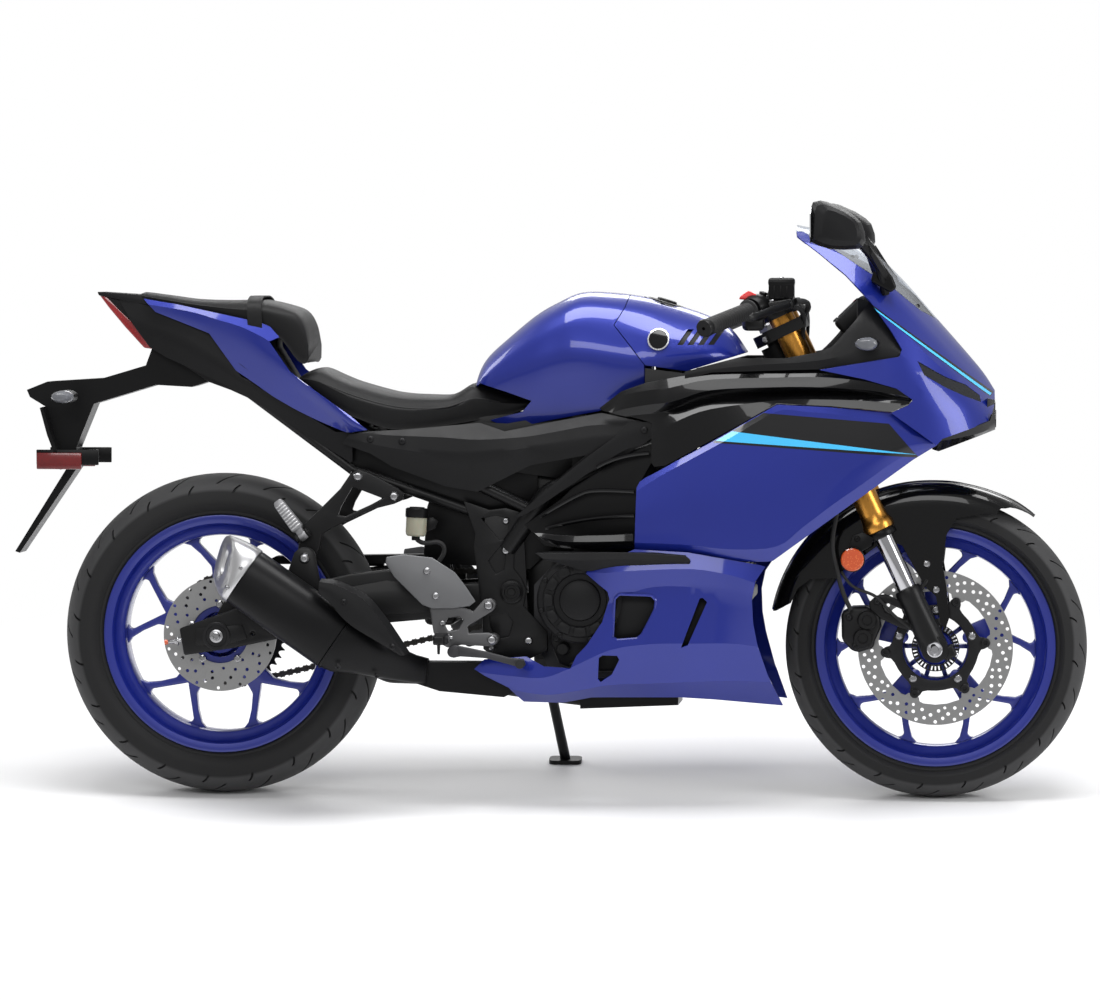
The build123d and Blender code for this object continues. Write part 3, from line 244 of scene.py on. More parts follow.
class Finish:
    """A Principled material under construction."""

    def __init__(self, name, colour, roughness=0.5, metallic=0.0, **constants):
        self.material = bpy.data.materials.new(name)
        self.material.use_nodes = True
        self.tree = self.material.node_tree
        self.tree.nodes.clear()
        self.shader = self.tree.nodes.new("ShaderNodeBsdfPrincipled")
        self.out = self.tree.nodes.new("ShaderNodeOutputMaterial")
        self.tree.links.new(self.shader.outputs[0], self.out.inputs[0])
        self.set("Base Color", (*colour[:3], 1.0))
        self.set("Roughness", roughness)
        self.set("Metallic", metallic)
        for socket, value in constants.items():
            self.set(socket.replace("_", " "), value)
        self.colour = colour
        self.slot = None
        self._place = None

    def set(self, socket, value):
        """Put a constant or a link on one of the shader's sockets."""
        feed(self.tree, self.shader.inputs[socket], value)

    def node(self, kind, settings=None, output=0, **inputs):
        """Add a node: settings first, then its sockets' values or links."""
        made = self.tree.nodes.new("ShaderNode" + kind)
        for key, value in (settings or {}).items():
            setattr(made, key, value)
        for socket, value in inputs.items():
            feed(self.tree, made.inputs[socket.replace("_", " ")], value)
        return Value(self.tree, made.outputs[output])

    def place(self):
        """Position on the upright machine, in metres."""
        if self._place is None:
            objects = self.tree.nodes.new("ShaderNodeTexCoord")
            stand_up = self.tree.nodes.new("ShaderNodeMapping")
            stand_up.vector_type = "TEXTURE"
            stand_up.inputs["Location"].default_value = ground_mark
            stand_up.inputs["Rotation"].default_value = (lean, 0, 0)
            self.tree.links.new(objects.outputs["Object"], stand_up.inputs["Vector"])
            self._place = Value(self.tree, stand_up.outputs[0])
        return self._place

    def axes(self):
        """x, y and z of that position as three values."""
        split = self.tree.nodes.new("ShaderNodeSeparateXYZ")
        self.tree.links.new(self.place().socket, split.inputs[0])
        return [Value(self.tree, socket) for socket in split.outputs]

    def noise(self, scale, detail=3.0, roughness=0.55, stretch=None):
        """Noise from 0 to 1 at a scale in features per metre, stretched along an axis if wanted."""
        vector = self.place()
        if stretch:
            vector = self.node("Mapping", {}, Vector=vector, Scale=stretch)
        return self.node("TexNoise", {}, Vector=vector, Scale=scale, Detail=detail, Roughness=roughness)

    def mix(self, factor, first, second):
        """Colour between two colours or links."""
        made = self.tree.nodes.new("ShaderNodeMix")
        made.data_type = "RGBA"
        feed(self.tree, made.inputs[0], factor)
        for entry, value in ((made.inputs[6], first), (made.inputs[7], second)):
            feed(self.tree, entry, value if isinstance(value, Value) else (*value[:3], 1.0))
        return Value(self.tree, made.outputs[2])

    def bump(self, height, depth):
        """Relief of a given depth in metres."""
        self.set("Normal", self.node("Bump", {}, Height=height, Distance=depth, Strength=1.0))
        return self

    def blend_with(self, other, share, other_first):
        """Mix the shader with another one."""
        blend = self.tree.nodes.new("ShaderNodeMixShader")
        self.tree.links.new(share.socket, blend.inputs[0])
        pair = (other, self.shader) if other_first else (self.shader, other)
        for shader, entry in zip(pair, blend.inputs[1:]):
            self.tree.links.new(shader.outputs[0], entry)
        self.tree.links.new(blend.outputs[0], self.out.inputs[0])

    def shade(self, amount=0.12, scale=9.0):
        """Slight variation of the base colour."""
        self.set("Base Color", self.mix(self.noise(scale), *scaled(self.colour, 1 - amount, 1 + amount)))
        return self


# %% [markdown]
# ## Modelling helpers
# Three ways of making shapes cover nearly the whole machine. Bodywork is a smooth sheet through a few
# drawn sections, trimmed to its panel lines as a sheet moulding is. Castings are outlines pushed out and
# bevelled. Round parts are turned: a profile spun about its axis.

# %% Points and smooth sheets through sections
def pairs(*numbers):
    """Points from a flat run of numbers, two for each: first,second, first,second."""
    return list(zip(numbers[::2], numbers[1::2]))


def sections_of(*rows):
    """Rows of x and its (y, z) points, from rows of plain numbers: x, y,z, y,z."""
    return [(row[0], *pairs(*row[1:])) for row in rows]


def curve_point(points, position):
    """Point on a smooth line through control points; a doubled point makes a sharp corner."""
    last = len(points) - 1
    start = min(int(position), last - 1)
    share = position - start
    before, here, there, after = (points[max(0, min(last, start + k))] for k in (-1, 0, 1, 2))
    if (there - here).length < 0.01:
        return here.copy()
    return 0.5 * ((2 * here) + (there - before) * share + (2 * before - 5 * here + 4 * there - after) * share
        ** 2 + (3 * here - before - 3 * there + after) * share ** 3)


def sheet(sections, along=4, across=4):
    """Smooth grid through sections of equally many points; along and across are cells per control cell."""
    sections = [[Vector(point) for point in section] for section in sections]
    rows, columns = (len(sections) - 1) * along, (len(sections[0]) - 1) * across
    bm = bmesh.new()
    bmesh.ops.create_grid(bm, x_segments=rows, y_segments=columns, size=1)
    spread = [[curve_point(section, c / across) for c in range(columns + 1)] for section in sections]
    for vertex in bm.verts:
        row = round((vertex.co.x + 1) / 2 * rows)
        column = round((vertex.co.y + 1) / 2 * columns)
        vertex.co = curve_point([line[column] for line in spread], row / along)
    bmesh.ops.remove_doubles(bm, verts=bm.verts, dist=0.05)
    return bm


def inside(x, y, outline):
    """Is a point inside a closed outline?"""
    hit = False
    for (x0, y0), (x1, y1) in zip(outline, outline[1:] + outline[:1]):
        if (y0 > y) != (y1 > y) and x < x0 + (y - y0) / (y1 - y0) * (x1 - x0):
            hit = not hit
    return hit


def trim(bm, outline, keep=True, second=2):
    """Cut a sheet along an outline seen from the side, or from the top if second is 1."""
    for (x0, y0), (x1, y1) in zip(outline, outline[1:] + outline[:1]):
        low = min(x0, x1) - 1, min(y0, y1) - 1
        high = max(x0, x1) + 1, max(y0, y1) + 1
        near = []
        for face in bm.faces:
            us = [v.co[0] for v in face.verts]
            vs = [v.co[second] for v in face.verts]
            if max(us) > low[0] and min(us) < high[0] and max(vs) > low[1] and min(vs) < high[1]:
                near.append(face)
        normal = Vector((0, 0, 0))
        normal[0], normal[second] = y1 - y0, x0 - x1
        point = Vector((0, 0, 0))
        point[0], point[second] = x0, y0
        edges = {e for face in near for e in face.edges}
        verts = {v for face in near for v in face.verts}
        bmesh.ops.bisect_plane(bm, geom=[*verts, *edges, *near], dist=0.02, plane_co=point, plane_no=normal)
    gone = []
    for face in bm.faces:
        middle = face.calc_center_median()
        if inside(middle[0], middle[second], outline) != keep:
            gone.append(face)
    bmesh.ops.delete(bm, geom=gone, context="FACES")
    bmesh.ops.dissolve_degenerate(bm, dist=0.15, edges=bm.edges)
    return bm


def mirrored(bm, merge=0.4):
    """Add the other side of the machine, welded where the halves meet."""
    bmesh.ops.mirror(bm, geom=[*bm.verts, *bm.edges, *bm.faces], axis="Y", merge_dist=merge)
    return bm


def flip(bm):
    """Put a mesh of the right side on the left instead."""
    bmesh.ops.scale(bm, vec=(1, -1, 1), verts=bm.verts)
    bmesh.ops.reverse_faces(bm, faces=bm.faces)


# %% Castings and turned parts
right = (0, -1, 0)


def steep_edges(bm, angle):
    """Edges between two faces that meet at more than an angle in radians."""
    return [e for e in bm.edges if e.is_manifold and e.calc_face_angle(0) > angle]


def ease(bm, offset, edges=None, segments=2, clamp=False):
    """Round off edges, or every edge."""
    bmesh.ops.bevel(bm, geom=edges or bm.edges[:], offset=offset, segments=segments, profile=0.5,
        affect="EDGES", material=-1, clamp_overlap=clamp)
    return bm


def verts_of(pushed):
    """The vertices that an extrusion has made."""
    return [v for v in pushed["geom"] if isinstance(v, bmesh.types.BMVert)]


def plate(outline, y_from, y_to, bevel=1.5, holes=(), segments=2):
    """Side-view outline with holes, pushed out across the machine and bevelled."""
    bm = bmesh.new()
    for ring in (outline, *holes):
        verts = [bm.verts.new((x, y_from, z)) for x, z in ring]
        for a, b in zip(verts, verts[1:] + verts[:1]):
            bm.edges.new((a, b))
    bmesh.ops.triangle_fill(bm, edges=bm.edges[:], use_beauty=True)
    if holes:
        gone = []
        for face in bm.faces:
            middle = face.calc_center_median()
            if any(inside(middle.x, middle.z, hole) for hole in holes):
                gone.append(face)
        bmesh.ops.delete(bm, geom=gone, context="FACES")
    else:
        bmesh.ops.dissolve_faces(bm, faces=bm.faces[:])
    pushed = bmesh.ops.extrude_face_region(bm, geom=bm.faces[:])
    bmesh.ops.translate(bm, vec=(0, y_to - y_from, 0), verts=verts_of(pushed))
    bmesh.ops.recalc_face_normals(bm, faces=bm.faces)
    if bevel:
        ease(bm, bevel, steep_edges(bm, 0.6), segments, True)
    return bm


def tilted(angle, axis="Y"):
    """Rotation by degrees about one of the machine's axes."""
    return Matrix.Rotation(radians(angle), 3, axis)


def turns(count):
    """Angles evenly round a circle."""
    return [2 * pi * k / count for k in range(count)]


def polar(rings, count=1, start=0.0):
    """Outline points from (radius, degrees) pairs, repeated round the circle."""
    points = []
    for k in range(count):
        for radius, angle in rings:
            a = radians(angle + start + 360 * k / count)
            points.append((radius * cos(a), radius * sin(a)))
    return points


def symmetric(half, middle=()):
    """Outline from one half, its mirror image first, and what lies between them."""
    return [(a, -b) for a, b in half] + [*middle] + half[::-1]


def round_axis(centre, radius, y, first, count):
    """Evenly spaced places round a cross-wise axis, from a first angle in degrees."""
    angles = [radians(first + 360 / count * k) for k in range(count)]
    return [Vector(centre) + Vector((radius * cos(a), y, radius * sin(a))) for a in angles]


def circle_outline(x, z, radius, count=24):
    return [(x + radius * cos(a), z + radius * sin(a)) for a in turns(count)]


def oriented(start, direction):
    """Matrix whose z axis runs along a direction from a start."""
    return Matrix.Translation(Vector(start)) @ Vector(direction).to_track_quat("Z", "Y").to_matrix().to_4x4()


def turned(profile, start, direction, steps=48):
    """Profile of (radius, distance along) points spun about a line, closed where it meets the line."""
    bm = bmesh.new()
    verts = [bm.verts.new((max(r, 0.0), 0, along)) for r, along in profile]
    edges = [bm.edges.new(pair) for pair in zip(verts, verts[1:])]
    bmesh.ops.spin(bm, geom=[*verts, *edges], cent=(0, 0, 0), axis=(0, 0, 1), angle=2 * pi, steps=steps,
        use_merge=True)
    bmesh.ops.remove_doubles(bm, verts=bm.verts, dist=0.01)
    bmesh.ops.transform(bm, matrix=oriented(start, direction), verts=bm.verts)
    bmesh.ops.recalc_face_normals(bm, faces=bm.faces)
    return bm


def rod(start, end, radius, end_radius=None, bevel=0.8, steps=32):
    """Round bar with eased ends."""
    start, end = Vector(start), Vector(end)
    length = (end - start).length
    last = radius if end_radius is None else end_radius
    ease = min(bevel, length / 3, radius / 2, last / 2)
    profile = [(0, 0), (radius - ease, 0), (radius - 0.3 * ease, 0.3 * ease), (radius, ease),
        (last, length - ease), (last - 0.3 * ease, length - 0.3 * ease), (last - ease, length), (0, length)]
    return turned(profile, start, end - start, steps)


def block(centre, size, bevel=1.5, segments=2, turn_by=None):
    """Bevelled box; turn_by is a rotation matrix or None."""
    bm = bmesh.new()
    bmesh.ops.create_cube(bm, size=1)
    bmesh.ops.scale(bm, vec=size, verts=bm.verts)
    if bevel:
        ease(bm, bevel, None, segments)
    matrix = Matrix.Translation(Vector(centre))
    if turn_by is not None:
        matrix = matrix @ turn_by.to_4x4()
    bmesh.ops.transform(bm, matrix=matrix, verts=bm.verts)
    return bm


def tube(points, radius, steps=12, order=4, closed_ends=True):
    """Round tube along a smooth line drawn by control points."""
    data = bpy.data.curves.new("route", "CURVE")
    data.dimensions = "3D"
    spline = data.splines.new("NURBS")
    spline.points.add(len(points) - 1)
    for point, place in zip(spline.points, points):
        point.co = (*place, 1)
    spline.order_u = min(order, len(points))
    spline.use_endpoint_u = True
    spline.resolution_u = 6
    data.bevel_depth = radius
    data.bevel_resolution = max(1, steps // 4)
    data.use_fill_caps = closed_ends
    carrier = bpy.data.objects.new("route", data)
    mesh = bpy.data.meshes.new_from_object(carrier)
    bm = bmesh.new()
    bm.from_mesh(mesh)
    bpy.data.objects.remove(carrier)
    bpy.data.curves.remove(data)
    bpy.data.meshes.remove(mesh)
    bmesh.ops.remove_doubles(bm, verts=bm.verts, dist=0.01)
    return bm


def skin(sections, caps=True):
    """Skin over closed sections of equally many points, joined one to the next."""
    bm = bmesh.new()
    loops = []
    for section in sections:
        verts = [bm.verts.new(point) for point in section]
        loops.append([bm.edges.new(pair) for pair in zip(verts, verts[1:] + verts[:1])])
    for one, two in zip(loops, loops[1:]):
        bmesh.ops.bridge_loops(bm, edges=one + two)
    if caps:
        bmesh.ops.contextual_create(bm, geom=loops[0])
        bmesh.ops.contextual_create(bm, geom=loops[-1])
    bmesh.ops.recalc_face_normals(bm, faces=bm.faces)
    return bm


# %% Screws, pins and joined meshes
def bolt(place, direction, radius=6.0, height=4.0):
    """Button-head screw with a hexagon socket."""
    profile = [(0, height * 0.45), (radius * 0.42, height * 0.45), (radius * 0.46, height), (radius * 0.75,
        height * 0.9), (radius, height * 0.35), (radius, 0)]
    return turned(profile, place, direction, 12)


def bolts(direction, *places):
    """Screws that face one way, from rows of x, y, z, head radius and height."""
    return joined(*[bolt(place[:3], direction, *place[3:]) for place in places])


def pin_across(centre, y_from, y_to, radius, bevel=0.8):
    """Round bar across the machine, through a centre."""
    x, y, z = centre
    return rod((x, y + y_from, z), (x, y + y_to, z), radius, bevel=bevel)


def beside(place, y):
    """Place moved to the left; to the right if y is negative."""
    return Vector(place) + Vector((0, y, 0))


def joined(*parts):
    """One bmesh made of several."""
    whole = bmesh.new()
    for part in parts:
        mesh = bpy.data.meshes.new("part")
        part.to_mesh(mesh)
        whole.from_mesh(mesh)
        bpy.data.meshes.remove(mesh)
        part.free()
    return whole


# %% Handing over a piece
def both(*parts):
    """The parts of the right side as one mesh, with the same again on the left."""
    return mirrored(joined(*parts), 0.0)


def piece(name, bm, finish, replaces=(), body="chassis", slot=None, thickness=0.0, bevel=0.0, sharp=32.0):
    """Lean the finished mesh over with the machine and hand it to its body and material."""
    slot = slot or finish.slot
    bmesh.ops.transform(bm, matrix=upright, verts=bm.verts)
    for face in bm.faces:
        face.smooth = True
    for edge in bm.edges:
        edge.smooth = edge.calc_face_angle(0.0) < radians(sharp)
    mesh = bpy.data.meshes.new(name)
    bm.to_mesh(mesh)
    bm.free()
    made = bpy.data.objects.new(name, mesh)
    scene.collection.objects.link(made)
    mesh.materials.append(finish.material)
    if thickness:
        wall = made.modifiers.new("wall", "SOLIDIFY")
        wall.thickness = thickness / 1000
        wall.offset = -1
        wall.use_even_offset = False
    if bevel:
        edge = made.modifiers.new("edge", "BEVEL")
        edge.width = bevel / 1000
        edge.segments = 2
        edge.limit_method = "ANGLE"
        edge.angle_limit = radians(40)
        edge.use_clamp_overlap = True
        edge.harden_normals = True
    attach(made, body)
    if replaces:
        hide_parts(*replaces)
    print(name, "of", len(mesh.polygons), "faces, on", body)
    return made


def dress(finish, *nodes):
    """Give frame parts that keep their own shape a better material."""
    for name in nodes:
        materials = frame["nodes"][name].data.materials
        materials.clear()
        materials.append(finish.material)

# %% [markdown]
# ## Paint and lacquer
# Factory paint is a coloured metallic base under clear lacquer. The base gets fine flake noise in its
# roughness, and the clear coat adds the sharp reflection. Graphics are bands across the side view, worked
# out from each point's distance to a line, so they stay crisp at any size.

# %% Paint
deep_blue = (0.008, 0.019, 0.235)


def clouded(finish):
    """The base colour with very slight clouds."""
    return finish.mix(finish.noise(5, 2.0), *scaled(finish.colour, 0.92, 1.1))


def flaked(finish):
    """Metallic flake under the lacquer."""
    grain = finish.noise(2600, 1.0)
    finish.set("Roughness", grain * 0.10 + 0.30)
    finish.set("Base Color", clouded(finish))
    return finish


lacquer = {"Coat_Weight": 0.75, "Coat_Roughness": 0.04, "Specular_IOR_Level": 0.3}
blue_paint = flaked(Finish("blue lacquer", deep_blue, 0.34, 0.35, **lacquer))
wheel_blue = flaked(Finish("blue powder coat", (0.008, 0.018, 0.23), 0.38, 0.25, Coat_Weight=0.6,
    Coat_Roughness=0.12))
gloss_black = Finish("black lacquer", (0.002, 0.002, 0.0024), 0.22, 0.0, Specular_IOR_Level=0.1,
    Coat_Weight=0.5, Coat_Roughness=0.03).shade(0.15)


def band(finish, start, end, half_from, half_to):
    """Mask of a tapering stripe in the side view between two (x, z) points in millimetres."""
    x, y, z = finish.axes()
    (x0, z0), (x1, z1) = start, end
    length = hypot(x1 - x0, z1 - z0)
    ux, uz = (x1 - x0) / length, (z1 - z0) / length
    along = (x * 1000 - x0) * ux + (z * 1000 - z0) * uz
    off = abs((z * 1000 - z0) * ux - (x * 1000 - x0) * uz)
    half = along * ((half_to - half_from) / length) + half_from
    return (off < half) * (along > 0.0) * (along < length)


def above(finish, start, end):
    """Mask of what lies above a line through two (x, z) points in the side view."""
    x, y, z = finish.axes()
    (x0, z0), (x1, z1) = start, end
    return ((z * 1000 - z0) * (x1 - x0) - (x * 1000 - x0) * (z1 - z0)) > 0.0


def graphics(finish, base, dark_field, cyan_field):
    """Black and cyan areas over the blue; cyan isn't metallic."""
    darkened = finish.mix(dark_field, base, (0.004, 0.004, 0.005))
    finish.set("Base Color", finish.mix(cyan_field, darkened, (0.06, 0.52, 0.92)))
    finish.set("Metallic", (1 - cyan_field) * 0.35)


striped_blue = Finish("blue lacquer with stripes", deep_blue, 0.34, 0.35, **lacquer)
base = clouded(striped_blue)


def over(*line):
    return above(striped_blue, *line)


inside_ends = (1 - over((968, 692), (1063, 748))) * (1 - over((1298, 727), (1356, 660)))
dark_field = inside_ends * over((968, 689), (1352, 661)) * (1 - over((1063, 746), (1300, 726)))
cyan_field = inside_ends * over((968, 693), (1336, 668)) * (1 - over((1001, 711), (1336, 669)))
graphics(striped_blue, base, dark_field, cyan_field)

nose_blue = Finish("blue lacquer with pinstripe", deep_blue, 0.34, 0.35, **lacquer)
nose_base = clouded(nose_blue)
pin_dark = band(nose_blue, (1262, 951), (1492, 779), 3.0, 5.5)
graphics(nose_blue, nose_base, pin_dark, band(nose_blue, (1262, 950), (1490, 779), 1.2, 2.4))

# %% [markdown]
# ## Plastics, vinyl and rubber
# Unpainted mouldings have a spark-eroded grain, vinyl has a coarser leather grain, and rubber is matt
# with a bloom of dust. Each is a relief of a tenth of a millimetre or less with its own scale.

# %% Plastics and rubber
black_plastic = Finish("grained black moulding", (0.006, 0.006, 0.0066), 0.46, 0.0,
    Specular_IOR_Level=0.2).shade(0.2, 12)
black_plastic.set("Roughness", black_plastic.noise(40) * 0.14 + 0.40)
black_plastic.bump(black_plastic.noise(2200, 2.0), 0.00005)
dark_plastic = Finish("smooth black moulding", (0.003, 0.003, 0.0033), 0.36, 0.0,
    Specular_IOR_Level=0.18).shade(0.2, 10)
dark_plastic.bump(dark_plastic.noise(900, 2.0), 0.00003)
seat_vinyl = Finish("seat vinyl", (0.004, 0.004, 0.0044), 0.52, 0.0, Specular_IOR_Level=0.2,
    Sheen_Weight=0.03, Sheen_Roughness=0.4)
leather = seat_vinyl.node("TexVoronoi", {"feature": "DISTANCE_TO_EDGE"}, Vector=seat_vinyl.place(),
    Scale=620.0)
seat_vinyl.set("Roughness", seat_vinyl.noise(22) * 0.16 + 0.44)
seat_vinyl.bump(leather * 2.0 + seat_vinyl.noise(160) * 0.4, 0.00018)
tyre_rubber = Finish("tyre rubber", (0.010, 0.010, 0.010), 0.72, 0.0, Specular_IOR_Level=0.3)
dust = tyre_rubber.noise(14, 5.0)
sidewall = tyre_rubber.mix(dust, (0.006, 0.006, 0.0065), (0.012, 0.012, 0.0125))
scrubbed = tyre_rubber.mix(dust, (0.034, 0.034, 0.035), (0.052, 0.052, 0.053))
tread_share = tyre_rubber.node("Attribute", {"attribute_name": "tread"}, 2)
tyre_rubber.set("Base Color", tyre_rubber.mix(tread_share, sidewall, scrubbed))
tyre_rubber.set("Roughness", dust * 0.2 + 0.58)
tyre_rubber.bump(tyre_rubber.noise(700, 2.0), 0.00008)
grip_rubber = Finish("grip rubber", (0.010, 0.010, 0.0105), 0.62, 0.0, Specular_IOR_Level=0.35).shade(0.2,
    30)
grip_rubber.bump(grip_rubber.noise(1500, 2.0), 0.0001)

# %% [markdown]
# ## Metals
# Castings are dark and slightly rough with a sand-blasted grain. Turned and ground parts carry fine
# lines, made from noise that is stretched along the machining. The fork tubes are gold anodised, the
# discs ground.

# %% Metals
frame_satin = Finish("satin black enamel", (0.004, 0.004, 0.0044), 0.42, 0.0, Specular_IOR_Level=0.2,
    Coat_Weight=0.12, Coat_Roughness=0.25)
frame_satin.shade(0.2, 14).bump(frame_satin.noise(500, 3.0), 0.00006)
engine_cast = Finish("dark painted casting", (0.007, 0.007, 0.0076), 0.48, 0.2, Specular_IOR_Level=0.22)
engine_cast.shade(0.25, 18).bump(engine_cast.noise(1100, 2.0), 0.00012)
engine_block = Finish("bare grey casting", (0.035, 0.035, 0.038), 0.55, 0.4)
engine_block.shade(0.3, 20).bump(engine_block.noise(900, 2.0), 0.0002)
radiator_black = Finish("radiator core", (0.008, 0.008, 0.009), 0.5, 0.2).shade(0.2, 30)
exhaust_satin = Finish("heat-proof satin black", (0.004, 0.004, 0.0045), 0.40, 0.1, Specular_IOR_Level=0.2)
exhaust_satin.shade(0.25, 8)
exhaust_satin.set("Roughness", exhaust_satin.noise(16) * 0.14 + 0.32)
exhaust_satin.bump(exhaust_satin.noise(1400, 2.0), 0.00004)


def ground(name, colour, roughness, stretch, depth=0.00002):
    """Metal with fine lines left by machining or brushing."""
    made = Finish(name, colour, roughness, 1.0)
    lines = made.noise(900, 2.0, 0.6, stretch)
    made.set("Roughness", lines * 0.14 + (roughness - 0.06))
    made.set("Base Color", made.mix(lines, *scaled(colour, 0.86, 1.1)))
    return made.bump(lines, depth)


brushed_alloy = ground("brushed end cap", (0.58, 0.58, 0.59), 0.36, (1.0, 0.06, 1.0))
cast_alloy = Finish("bead-blasted alloy", (0.30, 0.30, 0.31), 0.48, 0.9).shade(0.12, 30)
cast_alloy.bump(cast_alloy.noise(1600, 2.0), 0.00006)
bright_alloy = ground("polished alloy", (0.62, 0.62, 0.63), 0.26, (1.0, 1.0, 0.1))
gold_anodised = ground("gold anodising", (0.62, 0.29, 0.055), 0.28, (0.3, 1.0, 0.05), 0.00001)
chrome = Finish("hard chrome", (0.50, 0.50, 0.52), 0.12, 1.0)
chrome.set("Roughness", chrome.noise(60) * 0.08 + 0.06)
zinc = Finish("plated screws", (0.36, 0.36, 0.37), 0.30, 1.0)
zinc.set("Roughness", zinc.noise(90) * 0.14 + 0.20)
disc_steel = ground("ground disc steel", (0.33, 0.33, 0.33), 0.34, (1.0, 1.0, 1.0), 0.00003)
chain_steel = Finish("oiled chain steel", (0.075, 0.072, 0.068), 0.38, 0.9).shade(0.3, 80)
dark_steel = Finish("phosphated steel", (0.02, 0.02, 0.021), 0.42, 0.8).shade(0.3, 40)

# %% [markdown]
# ## Lenses and glass
# Lamps read as deep because their lens lets light into a faceted reflector. Here that light is painted: the
# red and orange lenses carry painted prism glints, each cell lighter at its middle and darker at its edge.
# Thin screens are mostly see-through, so they mix a transparent surface with a glossy one instead of bending
# light.

# %% Lenses
def prism_glints(finish, scale, strength, light, dark):
    """Painted glints of moulded prisms behind a lens: cells lighter at the middle and darker at the edge."""
    cells = finish.node("TexVoronoi", {"feature": "F1"}, Vector=finish.place(), Scale=scale)
    finish.set("Base Color", finish.mix(cells * strength, light, dark))
    return finish


# The lenses' cells are painted prism glints: light cell middles, dark cell edges.
red_lens = prism_glints(Finish("red lens", (0.55, 0.008, 0.012), 0.12, 0.0, Coat_Weight=1.0), 150.0, 4.0,
    (0.75, 0.02, 0.02), (0.30, 0.003, 0.006))
orange_lens = prism_glints(Finish("orange reflector", (0.85, 0.17, 0.03), 0.18, 0.0, Coat_Weight=1.0), 260.0, 3.0,
    (0.95, 0.30, 0.08), (0.60, 0.08, 0.015))
dark_red_lens = Finish("dark red reflector", (0.13, 0.003, 0.004), 0.2, 0.0, Coat_Weight=0.6).shade(0.3, 60)
lamp_glow = Finish("lamp reflector", (0.55, 0.56, 0.58), 0.2, 0.85).shade(0.4, 60)
mirror_glass = Finish("mirror glass", (0.82, 0.83, 0.85), 0.02, 1.0)
mirror_glass.set("Roughness", mirror_glass.noise(20) * 0.02 + 0.01)
dial_face = Finish("dial face", (0.006, 0.007, 0.009), 0.12, 0.0, Coat_Weight=1.0).shade(0.4, 30)
red_switch = Finish("red switch", (0.55, 0.02, 0.02), 0.4).shade(0.15, 80)
fluid_pot = Finish("brake fluid pot", (0.30, 0.29, 0.22), 0.38, 0.0, Subsurface_Weight=0.1).shade(0.1, 60)


def see_through(name, colour, clear, roughness=0.03):
    """Thin clear sheet: a share of plain see-through and the rest a glossy surface."""
    made = Finish(name, colour, roughness, 0.0, Coat_Weight=1.0)
    ghost = made.tree.nodes.new("ShaderNodeBsdfTransparent")
    ghost.inputs[0].default_value = (*colour, 1.0)
    made.blend_with(ghost, made.noise(30) * 0.04 + (1 - clear), True)
    return made


clear_screen = see_through("clear screen", (0.80, 0.82, 0.85), 0.84)
smoked_lens = see_through("smoked lens", (0.30, 0.31, 0.34), 0.55)
lamp_cover = see_through("lamp cover", (0.16, 0.165, 0.18), 0.86)

# %% The slot that each finish belongs to
finishes_of = {  # slot: finishes
    "blue_paint": (blue_paint, striped_blue, nose_blue),
    "wheel_paint": (wheel_blue,),
    "gloss_black": (gloss_black, dial_face),
    "black_plastic": (black_plastic, dark_plastic),
    "seat_vinyl": (seat_vinyl,),
    "tyre": (tyre_rubber,),
    "rubber": (grip_rubber,),
    "frame_black": (frame_satin, dark_steel),
    "engine_grey": (engine_cast,),
    "cast_alloy": (engine_block, cast_alloy),
    "radiator_black": (radiator_black,),
    "exhaust_black": (exhaust_satin,),
    "brushed_alloy": (brushed_alloy,),
    "chrome": (bright_alloy, chrome, zinc, mirror_glass),
    "gold_anodised": (gold_anodised,),
    "disc_steel": (disc_steel,),
    "chain_steel": (chain_steel,),
    "red_lens": (red_lens, orange_lens, dark_red_lens, red_switch),
    "lamp_lens": (lamp_glow, smoked_lens, lamp_cover),
    "clear_screen": (fluid_pot, clear_screen),
}
for slot, finishes in finishes_of.items():
    for finish in finishes:
        finish.slot = slot

# %% [markdown]
# ## Wheels
# Cast wheels are a rim, a hub and ten thin arms in five pairs. The rim is one profile spun round the
# axle. One pair of arms is drawn as a Y, pushed out to its thickness, given large rounded edges, thinned
# towards the rim, and then copied round.

# %% Wheels
def copies_round(bm, centre, count):
    """Repeat a mesh evenly about a cross-wise axis."""
    bmesh.ops.spin(bm, geom=[*bm.verts, *bm.edges, *bm.faces], cent=centre, axis=right,
        angle=2 * pi * (count - 1) / count, steps=count - 1, use_duplicate=True)
    return bm


def shifted(bm, by):
    bmesh.ops.translate(bm, vec=by, verts=bm.verts)
    return bm


arm_pairs = 5
first_pair = 18.0
y_arm = symmetric(pairs(68,18, 80,14.6, 105,12.4, 131,11.2, 160,17.0, 182,21.4, 194,26, 194,12, 187,15.2,
    181,16.2, 126,1.8), [(121, 0)])
rim_outside = pairs(231.5,2, 230.5,4.6, 227,5.4, 221,4.6, 215,3.2, 212.5,0.5, 211.5,-5, 207,-10, 199,-14,
    193,-18, 191,-24)
rim_inside = [(206, -21), (219, -13), (219.5, 0), (231, 0)]


